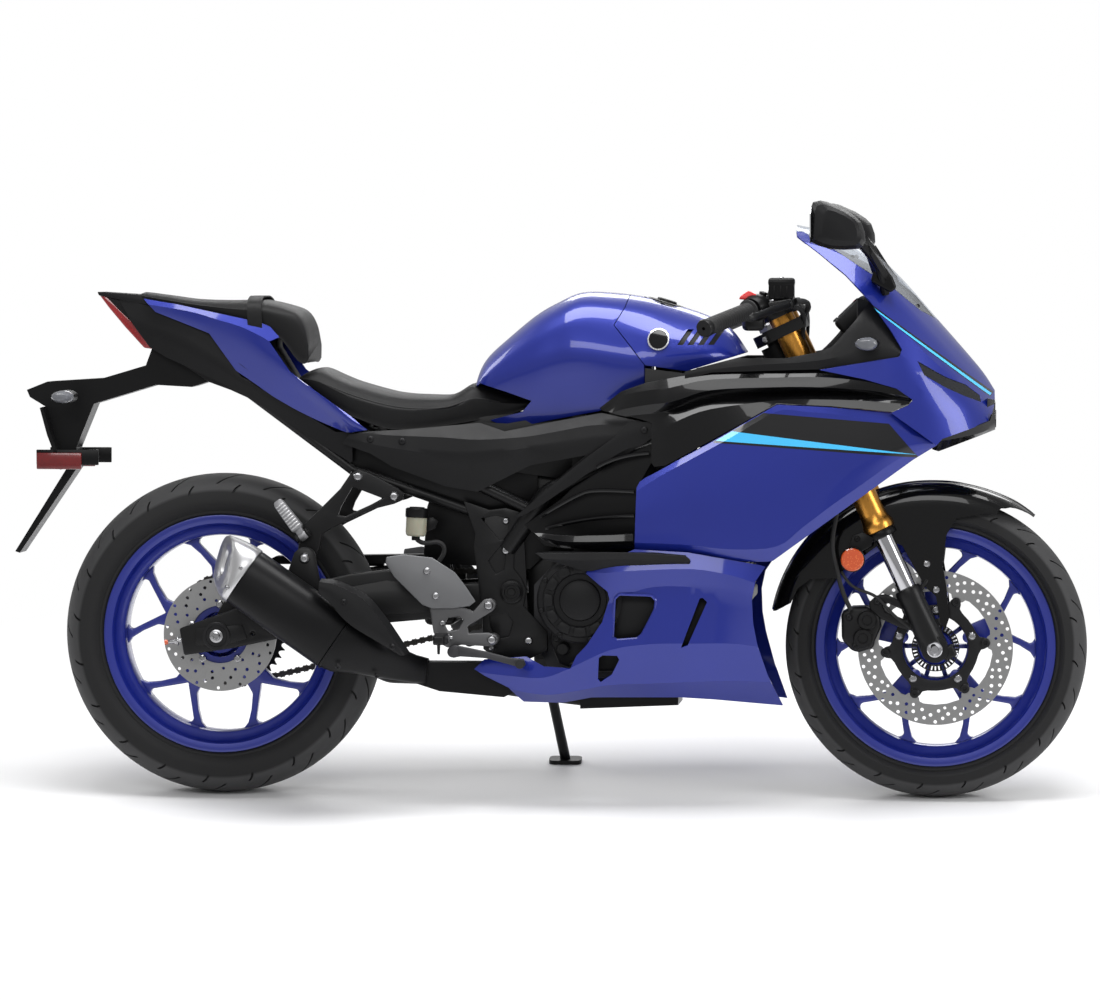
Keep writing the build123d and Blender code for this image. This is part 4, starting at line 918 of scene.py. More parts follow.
def cast_wheel(axle, half, arm_half, hub_profile, ring_half):
    """Rim of a given half width between its flanges, arms, hub ring and hub, as one mesh."""
    one, two = ([(r, side * (half + y)) for r, y in rim_outside] for side in (1, -1))
    far, near = ([(r, side * (half + y)) for r, y in rim_inside] for side in (-1, 1))
    rim = turned([*one, (190.4, 0), *two[::-1], *far[::-1], *near, one[0]], axle, (0, 1, 0), 144)
    arms = plate(polar(y_arm, 1, first_pair), -arm_half, arm_half, bevel=4.5, segments=3)
    for v in arms.verts:
        radius = hypot(v.co.x, v.co.z)
        v.co.y *= 1.12 - 0.36 * max(0.0, min(1.0, (radius - 80) / 110))
    shifted(arms, axle)
    copies_round(arms, axle, arm_pairs)
    ring_outside = symmetric([(62, ring_half), (76, ring_half), (79, ring_half - 4)], [(80, 0)])
    ring = turned([*ring_outside, (60, ring_half - 6), (60, 6 - ring_half), (62, -ring_half)], axle,
        (0, 1, 0), 72)
    ribs = shifted(block((48, 0, 0), (34, arm_half * 1.5, 9), 2.5), axle)
    copies_round(ribs, axle, 10)
    hub = turned(hub_profile, axle, (0, 1, 0), 48)
    return joined(rim, arms, ring, ribs, hub)


front_bore, rear_bore = 12.6, 10.1
front_hub = [(front_bore, -55), (30, -55), (34, -52), (36, -30), (40, 0), (36, 40), (34, 52), (30, 56),
    (front_bore, 56), (front_bore, -55)]
rear_hub = [(rear_bore, -75), (36, -75), (40, -60), (42, 0), (40, 60), (38, 82), (rear_bore, 82),
    (rear_bore, -75)]
front_wheel = cast_wheel(front_axle, 35, 13, front_hub, 20)
seat_profile = pairs(0,0, 11,0, 11,17, 9,18, 0,18)
seats = joined(*[turned(seat_profile, place, right, 24) for place in round_axis(front_axle, 66, -38, 18, 5)])
piece("front_wheel_casting", joined(front_wheel, seats), wheel_blue, ["front_wheel"], body="front_wheel")
rear_flanges = joined(turned(pairs(44,-60, 64,-60, 66,-63, 66,-75, 44,-75, 44,-60), rear_axle, (0, 1, 0),
    64), turned(pairs(44,52, 70,52, 72,56, 72,82, 66,83, 44,83, 44,52), rear_axle, (0, 1, 0), 64))
rear_wheel = cast_wheel(rear_axle, 51, 15, rear_hub, 30)
piece("rear_wheel_casting", joined(rear_wheel, rear_flanges), wheel_blue, ["rear_wheel"], body="rear_wheel")

# %% [markdown]
# ## Tyres
# A motorcycle tyre is nearly round across. Its section is spun with one cell per degree, the crown's
# rings are then twisted so that the cells slant, and some columns of cells are pressed in: those are the
# tread's cuts.

# %% Tyres
def tyre_mesh(axle, radius, width, rim_half):
    """Round-crowned tyre with slanting tread cuts and a raised rim guard."""
    half, wide = width / 2, radius - 0.35 * width
    crown_cells = 26
    crown = []

    def crown_radius(y):
        return wide + (radius - wide) * max(0.0, 1 - (y / half) ** 2) ** 0.43

    for k in range(crown_cells + 1):
        share = sin(pi * (k / crown_cells - 0.5))
        edge_step = 1.1 if share > 0.96 else -1.1 if share < -0.96 else 0
        crown.append((crown_radius(half * share), half * share - edge_step))
    side = [(219.6, rim_half - 12), (219.6, rim_half - 0.6), (231, rim_half + 0.6), (232.8, rim_half + 5.8),
        (235.0, rim_half + 8.6), (238.0, rim_half + 9.2), (239.5, rim_half + 8.4)]
    bead_edge = rim_half + 8.4
    bulge = [(239.5 + (wide - 239.5) * s, bead_edge + (half - bead_edge) * (1 - (1 - s) ** 2.2))
        for s in (0.25, 0.5, 0.75)]
    inner = [(wide, half - 7), (radius - 9, 20), (radius - 8, 0), (radius - 9, -20), (wide, 7 - half)]
    profile = [(r, -y) for r, y in side] + [(r, -y) for r, y in bulge] + crown
    profile += [*reversed(bulge), *reversed(side), *inner, (219.6, 12 - rim_half)]
    bm = turned(profile, axle, (0, 1, 0), 360)
    twist = radians(13)
    for v in bm.verts:
        across = abs(v.co.y) / half
        flat = v.co - axle
        if hypot(flat.x, flat.z) > wide + 0.5 and hypot(flat.x, flat.z) > radius - 9 - 40 * across:
            angle = twist * across ** 1.3
            v.co.x, v.co.z = (axle.x + flat.x * cos(angle) - flat.z * sin(angle),
                axle.z + flat.x * sin(angle) + flat.z * cos(angle))
    cuts = []
    for face in bm.faces:
        middle = face.calc_center_median() - axle
        across = middle.y / half
        r = hypot(middle.x, middle.z)
        if r < wide + 1.5 or face.normal.dot(Vector((middle.x, 0, middle.z)).normalized()) < 0.1:
            continue
        angle = degrees(atan2(middle.z, middle.x)) - degrees(twist) * abs(across) ** 1.3
        column = int(angle % 360)
        side_shift = 0 if across > 0 else 9
        step = (column + side_shift) % 18
        if (step == 0 and 0.10 < abs(across) < 0.80) or (step == 9 and 0.82 < abs(across) < 0.96):
            cuts.append(face)
    bmesh.ops.inset_region(bm, faces=cuts, thickness=0.4, depth=-4.5, use_even_offset=True)
    tread = bm.verts.layers.float.new("tread")
    for v in bm.verts:
        flat = v.co - axle
        r = hypot(flat.x, flat.z)
        on_crown = r > wide + 0.24 * (radius - wide) and r > crown_radius(v.co.y) - 1.5
        v[tread] = 1.0 if on_crown else 0.0
    return bm


piece("front_tyre_tread", tyre_mesh(front_axle, 291, 110, 35), tyre_rubber, ["front_tyre"],
    body="front_wheel", sharp=40)
piece("rear_tyre_tread", tyre_mesh(rear_axle, 311, 140, 51), tyre_rubber, ["rear_tyre"], body="rear_wheel",
    sharp=40)

# %% [markdown]
# ## Brake discs, sprocket and chain
# Discs are drilled in repeating rows: circles drawn inside a ring outline, filled, then pushed out to the
# disc's thickness. The chain is one pair of links laid again and again along the loop round both
# sprockets.

# %% Discs
def drilled_disc(axle, y, thickness, outer, inner, rows):
    """Flat ring with round holes; rows hold radius, first angle, step and hole radius."""
    holes = [inner if isinstance(inner, list) else circle_outline(0, 0, inner, 90)]
    for radius, first, step, hole in rows:
        for k in range(int(360 / step)):
            a = radians(first + step * k)
            holes.append(circle_outline(radius * cos(a), radius * sin(a), hole, 12))
    rim = circle_outline(0, 0, outer, 120)
    bm = plate(rim, y - thickness / 2, y + thickness / 2, bevel=0, holes=holes)
    return shifted(bm, axle)


front_rows = [(143, 0, 15, 3.4), (137, 6, 15, 3.4), (130, 11, 15, 3.6), (122, 3, 15, 3.4),
    (117.5, 9, 30, 3.0)]
front_inner = polar(symmetric([(110, 24), (110, 12), (108, 8), (101, 6)]), 6, 5.8)
piece("front_disc_drilled", drilled_disc(front_axle, -58, 4.5, 149, front_inner, front_rows), disc_steel,
    ["front_disc"], body="front_wheel")
carrier_outline = polar(symmetric(pairs(83,25, 84,14, 88,8, 96,6.4, 103,3.5), [(105, 0)]), 6, 5.8)
carrier = shifted(plate(carrier_outline, -62, -56, 1.0, [circle_outline(0, 0, 63, 60)]), front_axle)
bobbins = joined(*[turned(pairs(4,0, 9,0, 9.4,1, 9,3, 7.5,4, 4,4, 4,0), place, right, 28)
    for place in round_axis(front_axle, 96.5, -61, 5.8, 6)])
piece("front_disc_carrier", joined(carrier, bobbins), dark_steel, body="front_wheel", slot="disc_steel")
speed_slots = []
corners = ((-1, -1), (1, -1), (1, 1), (-1, 1))
for a in turns(36):
    speed_slots.append([((40 + 4 * s) * cos(a) - 1.4 * t * sin(a), (40 + 4 * s) * sin(a) + 1.4 * t * cos(a))
        for s, t in corners])
speed_holes = [circle_outline(0, 0, 34, 48), *speed_slots]
tooth_ring = shifted(plate(circle_outline(0, 0, 46, 72), -57, -54, 0.4, speed_holes), front_axle)
piece("front_speed_ring", tooth_ring, dark_steel, body="front_wheel", slot="disc_steel")
rear_rows = [(104, 4, 24, 3.2), (95, 12, 24, 3.4), (86, 20, 24, 3.4), (74, 6, 36, 3.2), (66, 24, 36, 3.0)]
piece("rear_disc_drilled", drilled_disc(rear_axle, -78, 4.5, 110, 56, rear_rows), disc_steel, ["rear_disc"],
    body="rear_wheel")
for body, axle, y, radius, side in (("front_wheel", front_axle, -61.9, 73.5, -1), ("rear_wheel", rear_axle,
    -80.2, 58.5, -1)):
    screws = [bolt(place, (0, side, 0), 7.5, 3.5) for place in round_axis(axle, radius, y, 18, 5)]
    piece(body + "_screws", joined(*screws), zinc, body=body)

# %% Sprocket and chain
pitch = 15.875
rear_teeth, front_teeth = 43, 14
rear_pitch_radius = pitch / 2 / sin(pi / rear_teeth)
front_pitch_radius = pitch / 2 / sin(pi / front_teeth)
sprocket_y = 86.0
front_sprocket = Vector((650, sprocket_y, 395))


def sprocket_mesh(centre, teeth, pitch_radius, thickness, inner, windows):
    """Toothed wheel: rounded valleys where the rollers sit and pointed teeth between them."""
    half_step = 180 / teeth
    outline = polar([(pitch_radius - 4.6, -half_step * 0.30), (pitch_radius - 1.0, -half_step * 0.62),
        (pitch_radius + 4.6, -half_step * 0.92), (pitch_radius + 4.6, -half_step * 1.08),
        (pitch_radius - 1.0, -half_step * 1.38), (pitch_radius - 4.6, -half_step * 1.70)][::-1], teeth)
    holes = [circle_outline(0, 0, inner, 36)]
    middle_radius = pitch_radius * 0.76
    for a in turns(windows):
        holes.append(circle_outline(middle_radius * cos(a), middle_radius * sin(a), pitch_radius * 0.10, 16))
    bm = plate(outline, -thickness / 2, thickness / 2, 0, holes)
    return shifted(bm, centre)


piece("rear_sprocket_toothed", sprocket_mesh(beside(rear_axle, sprocket_y), rear_teeth, rear_pitch_radius, 6,
    46, 6), dark_steel, ["rear_sprocket"], body="rear_wheel", slot="chain_steel")


def chain_points():
    """Pin positions round both sprockets, one pitch apart, and the loop's direction at each."""
    rear, front = Vector((0, rear_axle_height)), Vector((front_sprocket.x, front_sprocket.z))
    gap = front - rear
    heading = atan2(gap.y, gap.x)
    spread = (rear_pitch_radius - front_pitch_radius) / gap.length
    lift = acos(spread)
    straight = gap.length * (1 - spread ** 2) ** 0.5
    arc_front = 2 * lift * front_pitch_radius
    arc_rear = (2 * pi - 2 * lift) * rear_pitch_radius
    total = 2 * straight + arc_front + arc_rear
    count = 2 * round(total / pitch / 2)

    def place(centre, radius, angle, onward=0.0):
        """Pin and direction where the chain stands on a sprocket, or some way on along the straight."""
        course = angle - pi / 2
        on_circle = centre + Vector((cos(angle), sin(angle))) * radius
        return on_circle + Vector((cos(course), sin(course))) * onward, course

    made = []
    for k in range(count):
        s = total * k / count
        if s < straight:
            made.append(place(rear, rear_pitch_radius, heading + lift, s))
        elif s < straight + arc_front:
            wound = (s - straight) / front_pitch_radius
            made.append(place(front, front_pitch_radius, heading + lift - wound))
        elif s < 2 * straight + arc_front:
            made.append(place(front, front_pitch_radius, heading - lift, s - straight - arc_front))
        else:
            wound = (s - 2 * straight - arc_front) / rear_pitch_radius
            made.append(place(rear, rear_pitch_radius, heading - lift - wound))
    return made


upper_edge = [(-3.2, 6.6), (3.0, 4.6), (pitch / 2, 3.9), (pitch - 3.0, 4.6), (pitch + 3.2, 6.6)]
link_outline = upper_edge + [(pitch + 7.0, 0)] + [(x, -z) for x, z in reversed(upper_edge)] + [(-7.0, 0)]
pins = chain_points()
chain_parts = bmesh.new()
for k, (place, course) in enumerate(pins):
    reach = pins[(k + 1) % len(pins)][0] - place
    heading = Matrix.Rotation(-atan2(reach.y, reach.x), 4, "Y")
    matrix = Matrix.Translation((place.x, sprocket_y, place.y)) @ heading
    for side in (-1, 1):
        y = side * (6.8 if k % 2 else 4.6)
        verts = [chain_parts.verts.new(matrix @ Vector((x, y - 0.9, z))) for x, z in link_outline]
        face = chain_parts.faces.new(verts)
        pushed = bmesh.ops.extrude_face_region(chain_parts, geom=[face])
        bmesh.ops.translate(chain_parts, vec=(0, 1.8, 0), verts=verts_of(pushed))
    across_link = matrix @ Matrix.Rotation(pi / 2, 4, "X")
    for radius, depth in ((4.9, 8), (2.6, 17.5)):
        bmesh.ops.create_cone(chain_parts, cap_ends=True, segments=8, radius1=radius, radius2=radius,
            depth=depth, matrix=across_link)
bmesh.ops.recalc_face_normals(chain_parts, faces=chain_parts.faces)
print("chain of", len(pins), "links,", len(chain_parts.faces), "faces")
piece("chain_links", chain_parts, chain_steel, ["chain"])

# %% [markdown]
# ## Bodywork
# Every moulded panel starts as a smooth sheet through a few sections. A point given twice makes a crease.
# The sheet is cut to the panel's outline in the side view, mirrored, and given its thickness and soft
# edges.

# %% Sheet panels
def stations(rows, crease=()):
    """Sections from rows of x and (y, z) points; the numbered points are doubled into creases."""
    sections = []
    for x, *points in rows:
        sections.append([(x, -y, z) for k, (y, z) in enumerate(points) for _ in range(1 + (k in crease))])
    return sections


def panel(name, rows, outline, finish, replaces=(), crease=(), holes=(), thickness=3.0, bevel=1.0,
        centre=False, along=4, across=3, sharp=28):
    """Moulded panel from its rows, cut to an outline, on both sides of the machine."""
    sections = stations(rows, crease)
    if centre:
        sections = [[(section[1][0], -section[1][1], section[1][2])] + section for section in sections]
    bm = sheet(sections, along, across)
    if centre:
        bmesh.ops.delete(bm, geom=[v for v in bm.verts if v.co.y > 0.05], context="VERTS")
    if outline:
        trim(bm, outline)
    for hole in holes:
        trim(bm, hole, keep=False)
    mirrored(bm, 0.4 if centre else 0.0)
    bmesh.ops.recalc_face_normals(bm, faces=bm.faces)
    return piece(name, bm, finish, replaces, thickness=thickness, bevel=bevel, sharp=sharp)


def moved(rows, y_by, z_by=0.0):
    """The same sections some way outwards and upwards."""
    return [(x, *[(y + y_by, z + z_by) for y, z in points]) for x, *points in rows]


# %% Tank
tank_rows = sections_of(
    (494, 0,796, 26,794, 46,790, 56,785, 60,772, 62,752, 60,720),
    (503, 0,826, 32,822, 54,813, 66,803, 72,785, 72,757, 68,715),
    (520, 0,852, 38,847, 66,834, 82,818, 88,795, 84,763, 76,715),
    (555, 0,884, 44,879, 78,864, 98,845, 106,812, 98,770, 86,712),
    (611, 0,930, 48,925, 90,908, 114,882, 124,838, 112,775, 94,710),
    (656, 0,956, 52,951, 98,933, 121,905, 134,852, 119,785, 102,712),
    (701, 0,974, 54,969, 102,950, 127,917, 144,860, 130,795, 112,722),
    (764, 0,973, 55,967, 105,946, 131,909, 149,860, 142,805, 126,738),
    (824, 0,965, 54,959, 102,937, 133,899, 150,856, 147,815, 132,760),
    (882, 0,950, 50,943, 94,921, 126,890, 141,858, 140,830, 128,786),
    (947, 0,928, 44,921, 80,904, 106,880, 118,860, 119,844, 112,815),
    (990, 0,902, 34,896, 60,884, 80,868, 90,857, 92,846, 90,824),
    (1019, 0,862, 26,859, 46,854, 58,850, 64,845, 66,839, 66,826))
tank_outline = pairs(490,790, 490,1000, 793,1000, 793.3,967, 788,946, 768.5,912, 800,873, 829,836, 829,785,
    798,771, 740,747, 650,730, 565,712, 527,728, 590,744, 609,766, 560,783, 507,799)
panel("tank_shell", tank_rows, tank_outline, blue_paint, ["fuel_tank"], (3,), centre=True, along=5)
cover_outline = pairs(794.8,1000, 1030,1000, 1030,861, 1015,858, 987,848, 909,824, 831,835.5, 801.5,874,
    770.5,912, 789.6,946, 794.8,967)
cover_slots = [[(x, 874), (x + 11, 874), (x + 30, 904), (x + 19, 904)] for x in (891, 910.5, 930, 949)]
panel("tank_front_cover", tank_rows, cover_outline, blue_paint, ["tank_cover"], (3,), cover_slots,
    centre=True, along=5)
# Dark backing just inside the cover's slots: painted shade for the depth of the openings.
panel("tank_slot_shade_backs", moved(tank_rows[7:], -7), [(884, 869), (965, 866), (984, 906), (905, 912)],
    dark_plastic, along=3, thickness=2, bevel=0.3)
tank_side = sheet(stations(moved(tank_rows[6:11], 1.2), (3,)), 6, 5)
trim(tank_side, circle_outline(855, 884, 19, 40))
mirrored(tank_side, 0.0)
piece("tank_plain_discs", tank_side, gloss_black, thickness=2.2, bevel=0.8)
badge_rim = sheet(stations(moved(tank_rows[6:11], 2.0), (3,)), 6, 5)
trim(badge_rim, circle_outline(855, 884, 20.5, 48))
trim(badge_rim, circle_outline(855, 884, 18.0, 48), keep=False)
mirrored(badge_rim, 0.0)
piece("tank_disc_rims", badge_rim, bright_alloy, thickness=2.6, bevel=0.6)
cap_place = Vector((862, 0, 952))
cap_lean = Vector((0.30, 0, 1)).normalized()
cap_bolts = []
for a in (0.4, 1.45, 2.5, 3.55, 4.6, 5.65):
    on_cap = Vector((43 * cos(a), 43 * sin(a), -0.30 * 43 * cos(a)))
    cap_bolts.append(bolt(cap_place + on_cap, cap_lean, 3.4, 2.2))
cap_body = turned(pairs(0,4, 34,4, 37,3, 40,0, 46,0, 49,-1.5, 50,-5, 0,-5), cap_place, cap_lean, 64)
cap_key = turned(pairs(0,9, 17,9, 19,8, 20,4, 0,4), cap_place, cap_lean, 40)
cap = joined(cap_body, cap_key, *cap_bolts)
piece("fuel_cap", cap, frame_satin)

# %% Tail
tail_rows = sections_of(
    (-156, 62,968, 71,953, 68,944, 64,930, 58,905),
    (-60, 82,958, 95,938, 92,920, 86,904, 76,880),
    (0, 96,948, 112,922, 108,900, 102,878, 90,845),
    (60, 106,935, 125,903, 120,872, 111,844, 98,806),
    (120, 112,905, 132,868, 130,836, 120,804, 106,766),
    (190, 116,830, 138,797, 136,780, 125,760, 112,730),
    (265, 124,752, 142,730, 141,722, 134,711, 124,700),
    (300, 130,728, 144,714, 143,708, 137,702, 128,692))
tail_outline = pairs(-150,962, -81,951, 83,917, 104,908, 122,888, 103,880, 143,822, 170,801, 262,737,
    294,710, 262,705, 230,704, 48,807, 35,822, -17,895, -125,936)
panel("tail_side_panels", tail_rows, tail_outline, blue_paint, ["tail_panels"], (1, 3), thickness=3.4)
seat_tray = sheet([[(x, y, z) for y in (-half, 0, half)] for x, z, half in ((30, 850, 99), (48, 835, 103),
    (120, 785, 107), (200, 745, 113), (262, 718, 126), (292, 709, 130))], 3, 2)
piece("seat_base_tray", seat_tray, dark_plastic, thickness=2.5)
top_deck = joined(plate(pairs(-243,975, -158,969.5, -120,962, -60,950, -60,938, -150,950, -240,968), -62, 62,
    2.0), plate(pairs(-238,968, -150,958, 60,918, 106,900, 108,868, 150,800, 172,804, 262,739, 286,718,
    290,664, 258,646, 80,756, 18,784, -26,800, -74,832, -104,847, -139,867, -172,912), -46, 46, 2.5))
for v in top_deck.verts:
    if v.co.z > 936 and abs(v.co.y) > 50:
        v.co.y *= 0.82 + 0.18 * max(0, min(1, (v.co.x + 243) / 120))
piece("tail_undertray", top_deck, black_plastic, ["undertray"])
side_fill_rows = sections_of(
    (-210, 50,962, 52,940, 50,905),
    (-150, 60,950, 64,905, 56,868),
    (-60, 78,925, 84,870, 74,828),
    (40, 92,860, 96,808, 88,780),
    (140, 98,800, 104,752, 96,720),
    (262, 106,735, 112,700, 106,640))
side_fill_outline = pairs(-204,966, -150,960, -125,937, -17,896, 35,823, 48,808, 230,705, 262,706, 290,690,
    290,664, 258,646, 80,756, 18,784, -26,800, -74,832, -104,847, -139,867, -172,912)
panel("tail_lower_cheeks", side_fill_rows, side_fill_outline, black_plastic, crease=(1,))
lens_shape = plate(pairs(-249,974.6, -240,974.5, -228,963, -205,939, -172,908, -139,868, -141,864, -157,866,
    -194,906, -226,944), -46.5, 46.5, 2.2, segments=3)
for v in lens_shape.verts:
    side = abs(v.co.y) / 46.5
    v.co.x += 6 * side ** 3
piece("tail_light_lens", lens_shape, red_lens, ["tail_light"])
ribs = joined(*[block((-215 + 12 * k, 0, 949 - 13.5 * k), (2.0, 84, 2.0), 0.5) for k in range(5)])
piece("tail_light_bars", ribs, dark_plastic)

# %% Seats
def cushion(rows, edge_drop):
    """Padded seat: rows of x, half width, top and bottom height."""
    sections = []
    for x, half, top, bottom in rows:
        drop = min(edge_drop, (top - bottom) * 0.45)
        points = ((0, top), (0.45, top - 1), (0.8, top - drop * 0.35), (0.97, top - drop),
            (1, (top + bottom) / 2), (0.97, bottom + 2), (0.9, bottom), (0, bottom))
        sections.append([(x, -half * share, z) for share, z in points])
    bm = mirrored(sheet(sections, 4, 3), 0.4)
    bmesh.ops.holes_fill(bm, edges=[e for e in bm.edges if e.is_boundary])
    bmesh.ops.recalc_face_normals(bm, faces=bm.faces)
    return bm


rider_rows = [(158, 100, 812, 804), (172, 112, 822, 790), (198, 119, 828, 772), (230, 124, 815, 752),
    (265, 127, 801, 736), (326, 126, 784, 714), (362, 121, 778, 712), (400, 114, 776, 714),
    (451, 98, 777, 720), (487, 84, 797, 726), (506, 78, 797, 729), (545, 72, 785, 734), (580, 70, 773, 744),
    (607, 70, 764, 758)]
rider_seat = piece("rider_cushion", cushion(rider_rows, 26), seat_vinyl, ["rider_seat"], sharp=50)
pillion_rows = [(-166, 44, 968, 962), (-158, 56, 973, 958), (-147, 62, 974, 957), (-100, 76, 968, 948),
    (-47, 90, 961, 939), (18, 104, 959, 925), (63, 112, 960, 914), (89, 114, 959, 906), (125, 116, 951, 884),
    (155, 115, 940, 846), (170, 112, 918, 838), (177, 108, 889, 846)]
pillion_seat = piece("pillion_cushion", cushion(pillion_rows, 16), seat_vinyl, ["pillion_seat"], sharp=50)
strap_path = [(76, -113, 884), (74, -117, 915), (72, -108, 950), (70, -60, 963), (69, 0, 964.5),
    (70, 60, 963), (72, 108, 950), (74, 117, 915), (76, 113, 884)]
strap = sheet([[(x - 14, y, z), (x + 14, y, z)] for x, y, z in strap_path], 6, 2)
piece("pillion_strap", strap, seat_vinyl, thickness=3.0, bevel=0.8)
seat_seam = tube([(x, -half * 0.972, top - min(26, (top - bottom) * 0.45))
    for x, half, top, bottom in rider_rows[2:12]], 1.4, 6)
piece("seat_seams", both(seat_seam), grip_rubber, slot="seat_vinyl")

# %% Side covers under the seat
cover_rows = sections_of(
    (236, 110,722, 120,706, 122,694, 118,676),
    (278, 118,722, 130,704, 134,688, 128,664),
    (340, 116,724, 138,700, 141,676, 122,632),
    (444, 112,728, 142,696, 145,662, 118,595),
    (510, 110,736, 146,692, 149,664, 122,585),
    (600, 112,740, 150,698, 155,676, 136,620),
    (660, 116,750, 153,708, 158,684, 146,600),
    (746, 126,764, 161,722, 166,696, 156,640),
    (845, 160,745, 176,716, 178,700, 172,680))
cover_side_outline = pairs(243,684, 258,701, 296,707, 382,712, 510,724, 560,708, 650,726, 746,744, 821,729,
    842,723, 842,694, 700,602, 597,527, 586,548, 652,607, 718,663, 610,643, 506,591, 444,601, 341,639,
    300,664)
panel("seat_side_covers", cover_rows, cover_side_outline, black_plastic, ["side_covers"], (1, 2),
    thickness=3.4)
strip_rows = sections_of(
    (560, 140,560, 143,548, 143,530),
    (620, 146,596, 150,580, 150,560),
    (680, 155,640, 158,622, 157,600),
    (740, 166,690, 168,670, 166,640),
    (800, 171,732, 174,708, 173,676),
    (852, 178,740, 180,712, 178,684))
strip_outline = pairs(846,727, 847,697, 702,599, 598,525, 583,546, 650,604, 719,659, 778,702, 800,729)
panel("side_cover_strips", strip_rows, strip_outline, black_plastic, crease=(1,), bevel=1.4)
cover_screws = joined(*[bolt((x, side * y, z), (0, side, 0), 7, 4) for side in (-1, 1)
    for x, y, z in ((300, 136, 692), (831, 179, 712), (362, 141, 688))])
piece("side_cover_screws", cover_screws, dark_steel, slot="chrome")

# %% Side fairings
fairing_rows = sections_of(
    (812, 196,606, 206,592, 209,545, 206,498, 192,480),
    (858, 198,637, 209,622, 212,560, 208,497, 193,478),
    (918, 200,671, 211,655, 214,575, 209,494, 193,476),
    (1000, 203,716, 213,700, 216,590, 211,486, 195,464),
    (1086, 205,764, 213,749, 217,620, 211,492, 194,465),
    (1135, 205,763, 213,749, 217,640, 211,528, 193,501),
    (1190, 204,759, 212,744, 216,655, 210,570, 192,542),
    (1250, 201,754, 209,735, 213,670, 207,612, 190,586),
    (1303, 196,748, 204,722, 206,680, 201,650, 187,625),
    (1345, 188,722, 196,704, 197,688, 193,672, 182,655),
    (1391, 176,698, 182,690, 183,687, 181,684, 172,678))
fairing_outline = pairs(818,603, 825,617, 858,634, 1086,762, 1190,757, 1303,746, 1389,684, 1345,657,
    1200,552, 1065,454, 915,479, 814,484)
panel("side_fairing_panels", fairing_rows, fairing_outline, striped_blue, ["side_fairings"], (1, 3),
    thickness=3.2, sharp=12)

# %% Gloss black duct panels
duct_rows = sections_of(
    (744, 160,752, 166,748, 170,736, 168,728, 172,700, 172,640),
    (790, 162,798, 174,776, 177,752, 170,738, 180,704, 184,642),
    (844, 168,814, 184,788, 186,762, 175,744, 188,706, 194,642),
    (870, 170,818, 187,790, 190,765, 175,748, 191,714, 197,645),
    (898, 174,822, 191,796, 194,772, 176,757, 195,730, 200,652),
    (960, 179,828, 193,808, 197,790, 178,776, 198,752, 203,690),
    (1086, 182,828, 195,812, 199,796, 179,783, 200,768, 205,755),
    (1166, 182,830, 194,813, 198,796, 180,785, 200,770, 204,750),
    (1250, 190,820, 195,806, 196,792, 183,782, 198,768, 203,748),
    (1303, 192,804, 195,794, 195,784, 188,776, 196,764, 201,744),
    (1350, 192,790, 194,782, 194,775, 192,770, 194,762, 196,748))
duct_outline = pairs(746,752, 788,785, 834,801, 898,813, 960,823, 1166,828, 1262,806, 1313,792, 1344,772,
    1336,762, 1303,747.4, 1190,758.2, 1086,763.4, 857,635.8, 846,650, 846,725, 822,733, 750,749)
panel("duct_side_panels", duct_rows, duct_outline, gloss_black, ["duct_panels"], (1, 2, 3, 4), sharp=14)

# %% Belly pans
belly_rows = sections_of(
    (498, 120,285, 136,270, 140,258, 142,247, 132,236, 100,205),
    (570, 130,300, 152,284, 157,262, 160,240, 144,215, 96,180),
    (640, 140,320, 164,300, 170,270, 174,238, 152,205, 96,176),
    (700, 156,455, 178,425, 180,330, 188,262, 158,213, 98,178),
    (766, 188,482, 204,440, 192,380, 196,292, 164,225, 100,180),
    (840, 196,486, 209,446, 196,412, 196,304, 166,228, 104,180),
    (930, 198,488, 210,448, 199,414, 196,306, 166,232, 104,176),
    (1000, 197,470, 207,436, 201,405, 192,306, 161,234, 100,176),
    (1050, 194,456, 201,420, 195,394, 184,300, 153,232, 96,176),
    (1098, 182,440, 189,405, 184,380, 171,296, 141,230, 88,172))
belly_outline = pairs(890,480.2, 915,479, 1064,453.2, 1045,425, 1038,391, 1040,345, 1047,307, 1066,245,
    1093,183, 960,196, 896,200, 726,199, 671,188, 595,189, 569,217, 502,250, 522,269, 604,276, 639,258,
    690,256, 703,280, 722,300, 752,345, 766,390, 763,404, 722,438, 733,455, 800,478, 814,484)
window = pairs(772,316, 776,390, 785,399, 846,397, 855,388, 853,370, 828,322, 818,314, 780,311)
belly_slots = [pairs(939,392, 945,393, 953,385, 916,303, 903,298), pairs(745,278, 752,283, 780,282, 784,274,
    769,245, 747,230, 742,236)]
stand_gap = [(480, 150), (700, 150), (700, 300), (480, 300)]
right_belly = sheet(stations(belly_rows, (1, 2, 3, 4)), 5, 3)
trim(right_belly, belly_outline)
left_belly = right_belly.copy()
for shape in (window, *belly_slots):
    trim(right_belly, shape, keep=False)
    trim(left_belly, shape, keep=False)
trim(left_belly, stand_gap, keep=False)
flip(left_belly)
piece("belly_side_pans", joined(right_belly, left_belly), blue_paint, ["belly_pans"], thickness=3.2,
    bevel=1.2, sharp=16)
# Dark plates behind the belly window and slots: painted shade inside the openings.
window_shade_backs = joined(*[plate(pairs(765,306, 768,402, 862,402, 862,370, 834,306), side * 170, side * 173, 0.6)
    for side in (-1, 1)], *[plate([(934, 396), (960, 390), (920, 296), (895, 294)], side * 174, side * 177,
    0.6) for side in (-1, 1)])
piece("belly_opening_shade_backs", window_shade_backs, black_plastic)
frame_lip = joined(*[tube([(x, side * (190 + (z - 310) * 0.12), z) for x, z in window + window[:1]], 2.6, 6,
    2, False) for side in (-1, 1)])
piece("belly_window_lips", frame_lip, blue_paint)

